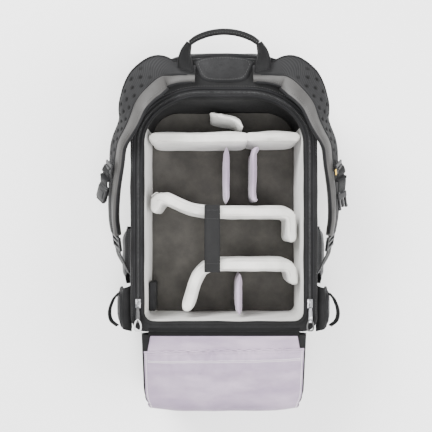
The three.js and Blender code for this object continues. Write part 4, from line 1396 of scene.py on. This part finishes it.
# ---- hip wings, side pockets, zip sliders and pulls ----
def build_hip(side, word):
    body = f"hip_{word}"
    stations = [(13, -131, -20, 31), (18, -131, -42, 35), (23, -132, -70, 33), (28, -134, -100, 27),
                (32, -137, -134, 16)]
    count = 34
    path = smooth_path([(x, y, z) for x, y, z, _ in stations], count)
    half = np.interp(np.linspace(0, 1, count), np.linspace(0, 1, 5), [row[3] for row in stations])
    half[:3] *= (0.9, 0.95, 0.98)
    half[-3:] *= (0.97, 0.9, 0.72)
    turns = np.linspace(0, 2 * math.pi, 36, endpoint=False)
    rings = []
    for (x, y, z), wide in zip(path, half):
        ring = []
        for turn in turns:
            across = np.sign(math.cos(turn)) * abs(math.cos(turn)) ** 0.55 * wide
            thick = np.sign(math.sin(turn)) * abs(math.sin(turn)) ** 0.7 * 3.4
            ring.append((side * (RIM_HALF + (x + thick) * MM), (y + across) * MM, RIM_TOP + z * MM))
        rings.append(ring)
    wing = inflate(loft(f"hip_wing_{word}_pad", rings, SHELL_SOFT), 4.5 * MM, 4.0, 2.4 * MM)
    settle(rumple(wing, 0.03, 1.2 * MM, 11.0 + side), body, [f"hip_wing_{word}"])
    for edge, name in ((0.93, "upper"), (-0.93, "lower")):
        line = np.array([(side * (RIM_HALF + x * MM), (y + edge * wide) * MM, RIM_TOP + z * MM)
                         for (x, y, z), wide in zip(path[1:-1], half[1:-1])])
        settle(tube(f"hip_piping_{word}_{name}", line, 2.2 * MM, BINDING, up=(side, 0, 0)), body)
    root = smooth_path([(side * (RIM_HALF + x * MM), -131 * MM, RIM_TOP + z * MM)
                        for x, z in ((1, -26), (5, -19), (10, -17.5), (14, -21), (16, -28))], 18)
    flap = ribbon(f"hip_root_{word}", root, np.tile((0, 1, 0), (18, 1)), np.linspace(38, 31, 18) * MM,
                  3 * MM, SHELL)
    settle(flap, ("bag", body, root[4], root[13]))
    low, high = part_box(f"hip_webbing_{word}")
    x = (low[0] + high[0]) / 2
    y, reach = (low[1] + high[1]) / 2, (high[1] - low[1]) / 2
    tail = smooth_path([(x, y, high[2] + 24 * MM), (x + side * 3 * MM, y, high[2]),
                        (x + side * 1 * MM, y, low[2] + 28 * MM),
                        (x - side * 1 * MM, y + 1 * MM, low[2] + 3 * MM)], 30)
    settle(ribbon(f"hip_tape_{word}", tail, np.tile((0, 1, 0), (30, 1)), reach, 2.2 * MM, WEBBING), body,
           [f"hip_webbing_{word}"])
    loop = smooth_path([(x - side * 9 * MM, y + 30 * MM, RIM_TOP - 34 * MM),
                        (x - side * 1 * MM, y + 20 * MM, RIM_TOP - 31 * MM),
                        (x + side * 5 * MM, y + 2 * MM, RIM_TOP - 30 * MM),
                        (x + side * 3 * MM, y - 14 * MM, RIM_TOP - 32 * MM),
                        (x - side * 7 * MM, y - 24 * MM, RIM_TOP - 36 * MM)], 36)
    settle(ribbon(f"hip_loop_{word}", loop, np.tile((side * 0.15, 0, 1), (36, 1)), 9 * MM, 2.2 * MM,
                  WEBBING), body)


def build_pocket_side(side, word):
    low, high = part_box(f"side_pocket_{word}")
    inner, reach = (high[0], low[0]) if side < 0 else (low[0], high[0])
    levels = np.linspace(low[2] + 2 * MM, high[2] - 1 * MM, 22)
    rings = []
    for z in levels:
        up = (z - low[2]) / (high[2] - low[2])
        belly = math.sin(math.pi * min(1, max(0, up))) ** 0.6
        out = abs(reach - inner) * (0.55 + 0.45 * belly)
        ys = np.linspace(low[1] + 1 * MM, high[1] - 1 * MM, 30)
        share = np.linspace(-1, 1, 30)
        face = [(inner + side * (out * (1 - abs(s) ** 6 * 0.45)), y, z) for s, y in zip(share, ys)]
        back = [(inner + side * (out * (1 - abs(s) ** 6 * 0.45) - 2.4 * MM), y, z) for s, y in zip(share, ys)]
        rings.append(face + back[::-1])
    skin = rumple(loft(f"side_pocket_{word}_mesh", rings, MESH), 0.02, 1.4 * MM, 13.0 + side)
    settle(skin, "bag", [f"side_pocket_{word}"])
    ends = []
    for name, y in (("base", low[1] + 2 * MM),):
        rings = []
        for z in levels:
            up = (z - low[2]) / (high[2] - low[2])
            out = abs(reach - inner) * (0.55 + 0.45 * math.sin(math.pi * up) ** 0.6) * 0.56
            rings.append([(inner + side * x, y + dy, z) for x, dy in
                          ((-4 * MM, 0), (out, 0), (out, 2.4 * MM), (-4 * MM, 2.4 * MM))])
        ends.append(loft(f"side_pocket_{word}_{name}", rings, MESH))
    for piece in ends:
        settle(piece, "bag")
    for name, z in (("lower", levels[0]), ("upper", levels[-1])):
        up = (z - low[2]) / (high[2] - low[2])
        out = abs(reach - inner) * (0.55 + 0.45 * math.sin(math.pi * up) ** 0.6) * 0.56
        plate = [[(inner - side * 4 * MM, y, z + dz), (inner + side * out * 1.6, y, z + dz),
                  (inner + side * out * 1.6, y, z + dz + 1.6 * MM),
                  (inner - side * 4 * MM, y, z + dz + 1.6 * MM)]
                 for dz, y in ((-0.8 * MM, y) for y in np.linspace(low[1] + 4 * MM, high[1] - 2 * MM, 12))]
        settle(loft(f"side_pocket_{word}_{name}", plate, MESH), "bag")
    bulge = lambda z: 0.55 + 0.45 * math.sin(math.pi * (z - low[2]) / (high[2] - low[2])) ** 0.6
    hem = [(inner + side * (abs(reach - inner) * bulge(z) * 0.56), high[1] - 2 * MM, z) for z in levels]
    settle(ribbon(f"side_pocket_{word}_elastic", np.array(hem), np.tile((0, 1, 0), (len(hem), 1)), 5 * MM,
                  3.2 * MM, BINDING),
           "bag")
    tab = [(inner + side * 5 * MM, low[1] + 16 * MM, high[2] + 2 * MM),
           (inner + side * 9 * MM, low[1] + 8 * MM, high[2] + 4 * MM),
           (inner + side * 7 * MM, low[1] - 4 * MM, high[2] + 3 * MM)]
    settle(ribbon(f"side_tab_{word}", smooth_path(tab, 16), np.tile((0.4 * side, 0, 1), (16, 1)), 8 * MM,
                  2.4 * MM, WEBBING),
           "bag")


def build_zip(side, word):
    low, high = (np.array(end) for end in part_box(f"zip_slider_{word}"))
    middle = (low + high) / 2
    size = high - low
    parts = [rounded_block("slider_shield", middle - (size[0] * 0.5, size[1] * 0.5, 2.2 * MM),
                           middle + (size[0] * 0.5, size[1] * 0.5, 0.2 * MM), 1.1 * MM, METAL),
             rounded_block("slider_nose", middle + (-1.6 * MM, -5.5 * MM, -0.2 * MM),
                           middle + (1.6 * MM, 5 * MM, 2.4 * MM),
                           1.2 * MM, METAL)]
    settle(join(f"zip_slider_{word}_casting", parts), f"zip_{word}", [f"zip_slider_{word}"])
    low, high = (np.array(end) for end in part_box(f"zip_pull_{word}"))
    middle = (low + high) / 2
    z, x = middle[2] + 0.4 * MM, middle[0]
    tab = smooth_path([(x, high[1] - 1 * MM, z + 0.3 * MM), (x, high[1] - 8 * MM, z + 0.2 * MM),
                       (x, low[1] + 14 * MM, z)], 16)
    half = np.interp(np.linspace(0, 1, 16), [0, 0.3, 1], [2.4, 3.2, 3.6]) * MM
    puller = ribbon("pull_tab", tab, np.tile((1, 0, 0), (16, 1)), half, 2.0 * MM, METAL if side > 0
                    else PLASTIC)
    settle(puller, f"pull_{word}", [f"zip_pull_{word}"])
    loop = smooth_path([(x, low[1] + 19 * MM, z), (x - 4.6 * MM, low[1] + 11 * MM, z),
                        (x - 4 * MM, low[1] + 2 * MM, z),
                        (x + 4 * MM, low[1] + 2 * MM, z), (x + 4.6 * MM, low[1] + 11 * MM, z)], 40,
                        closed=True)
    puller.name = puller.data.name = f"zip_pull_{word}_tab"
    settle(tube(f"zip_pull_{word}_cord", loop, 1.3 * MM, CORD if side < 0 else BLACK_THREAD, closed=True),
           f"pull_{word}")


for SIDE, WORD in ((-1, "left"), (1, "right")):
    build_hip(SIDE, WORD)
    build_pocket_side(SIDE, WORD)
    build_zip(SIDE, WORD)
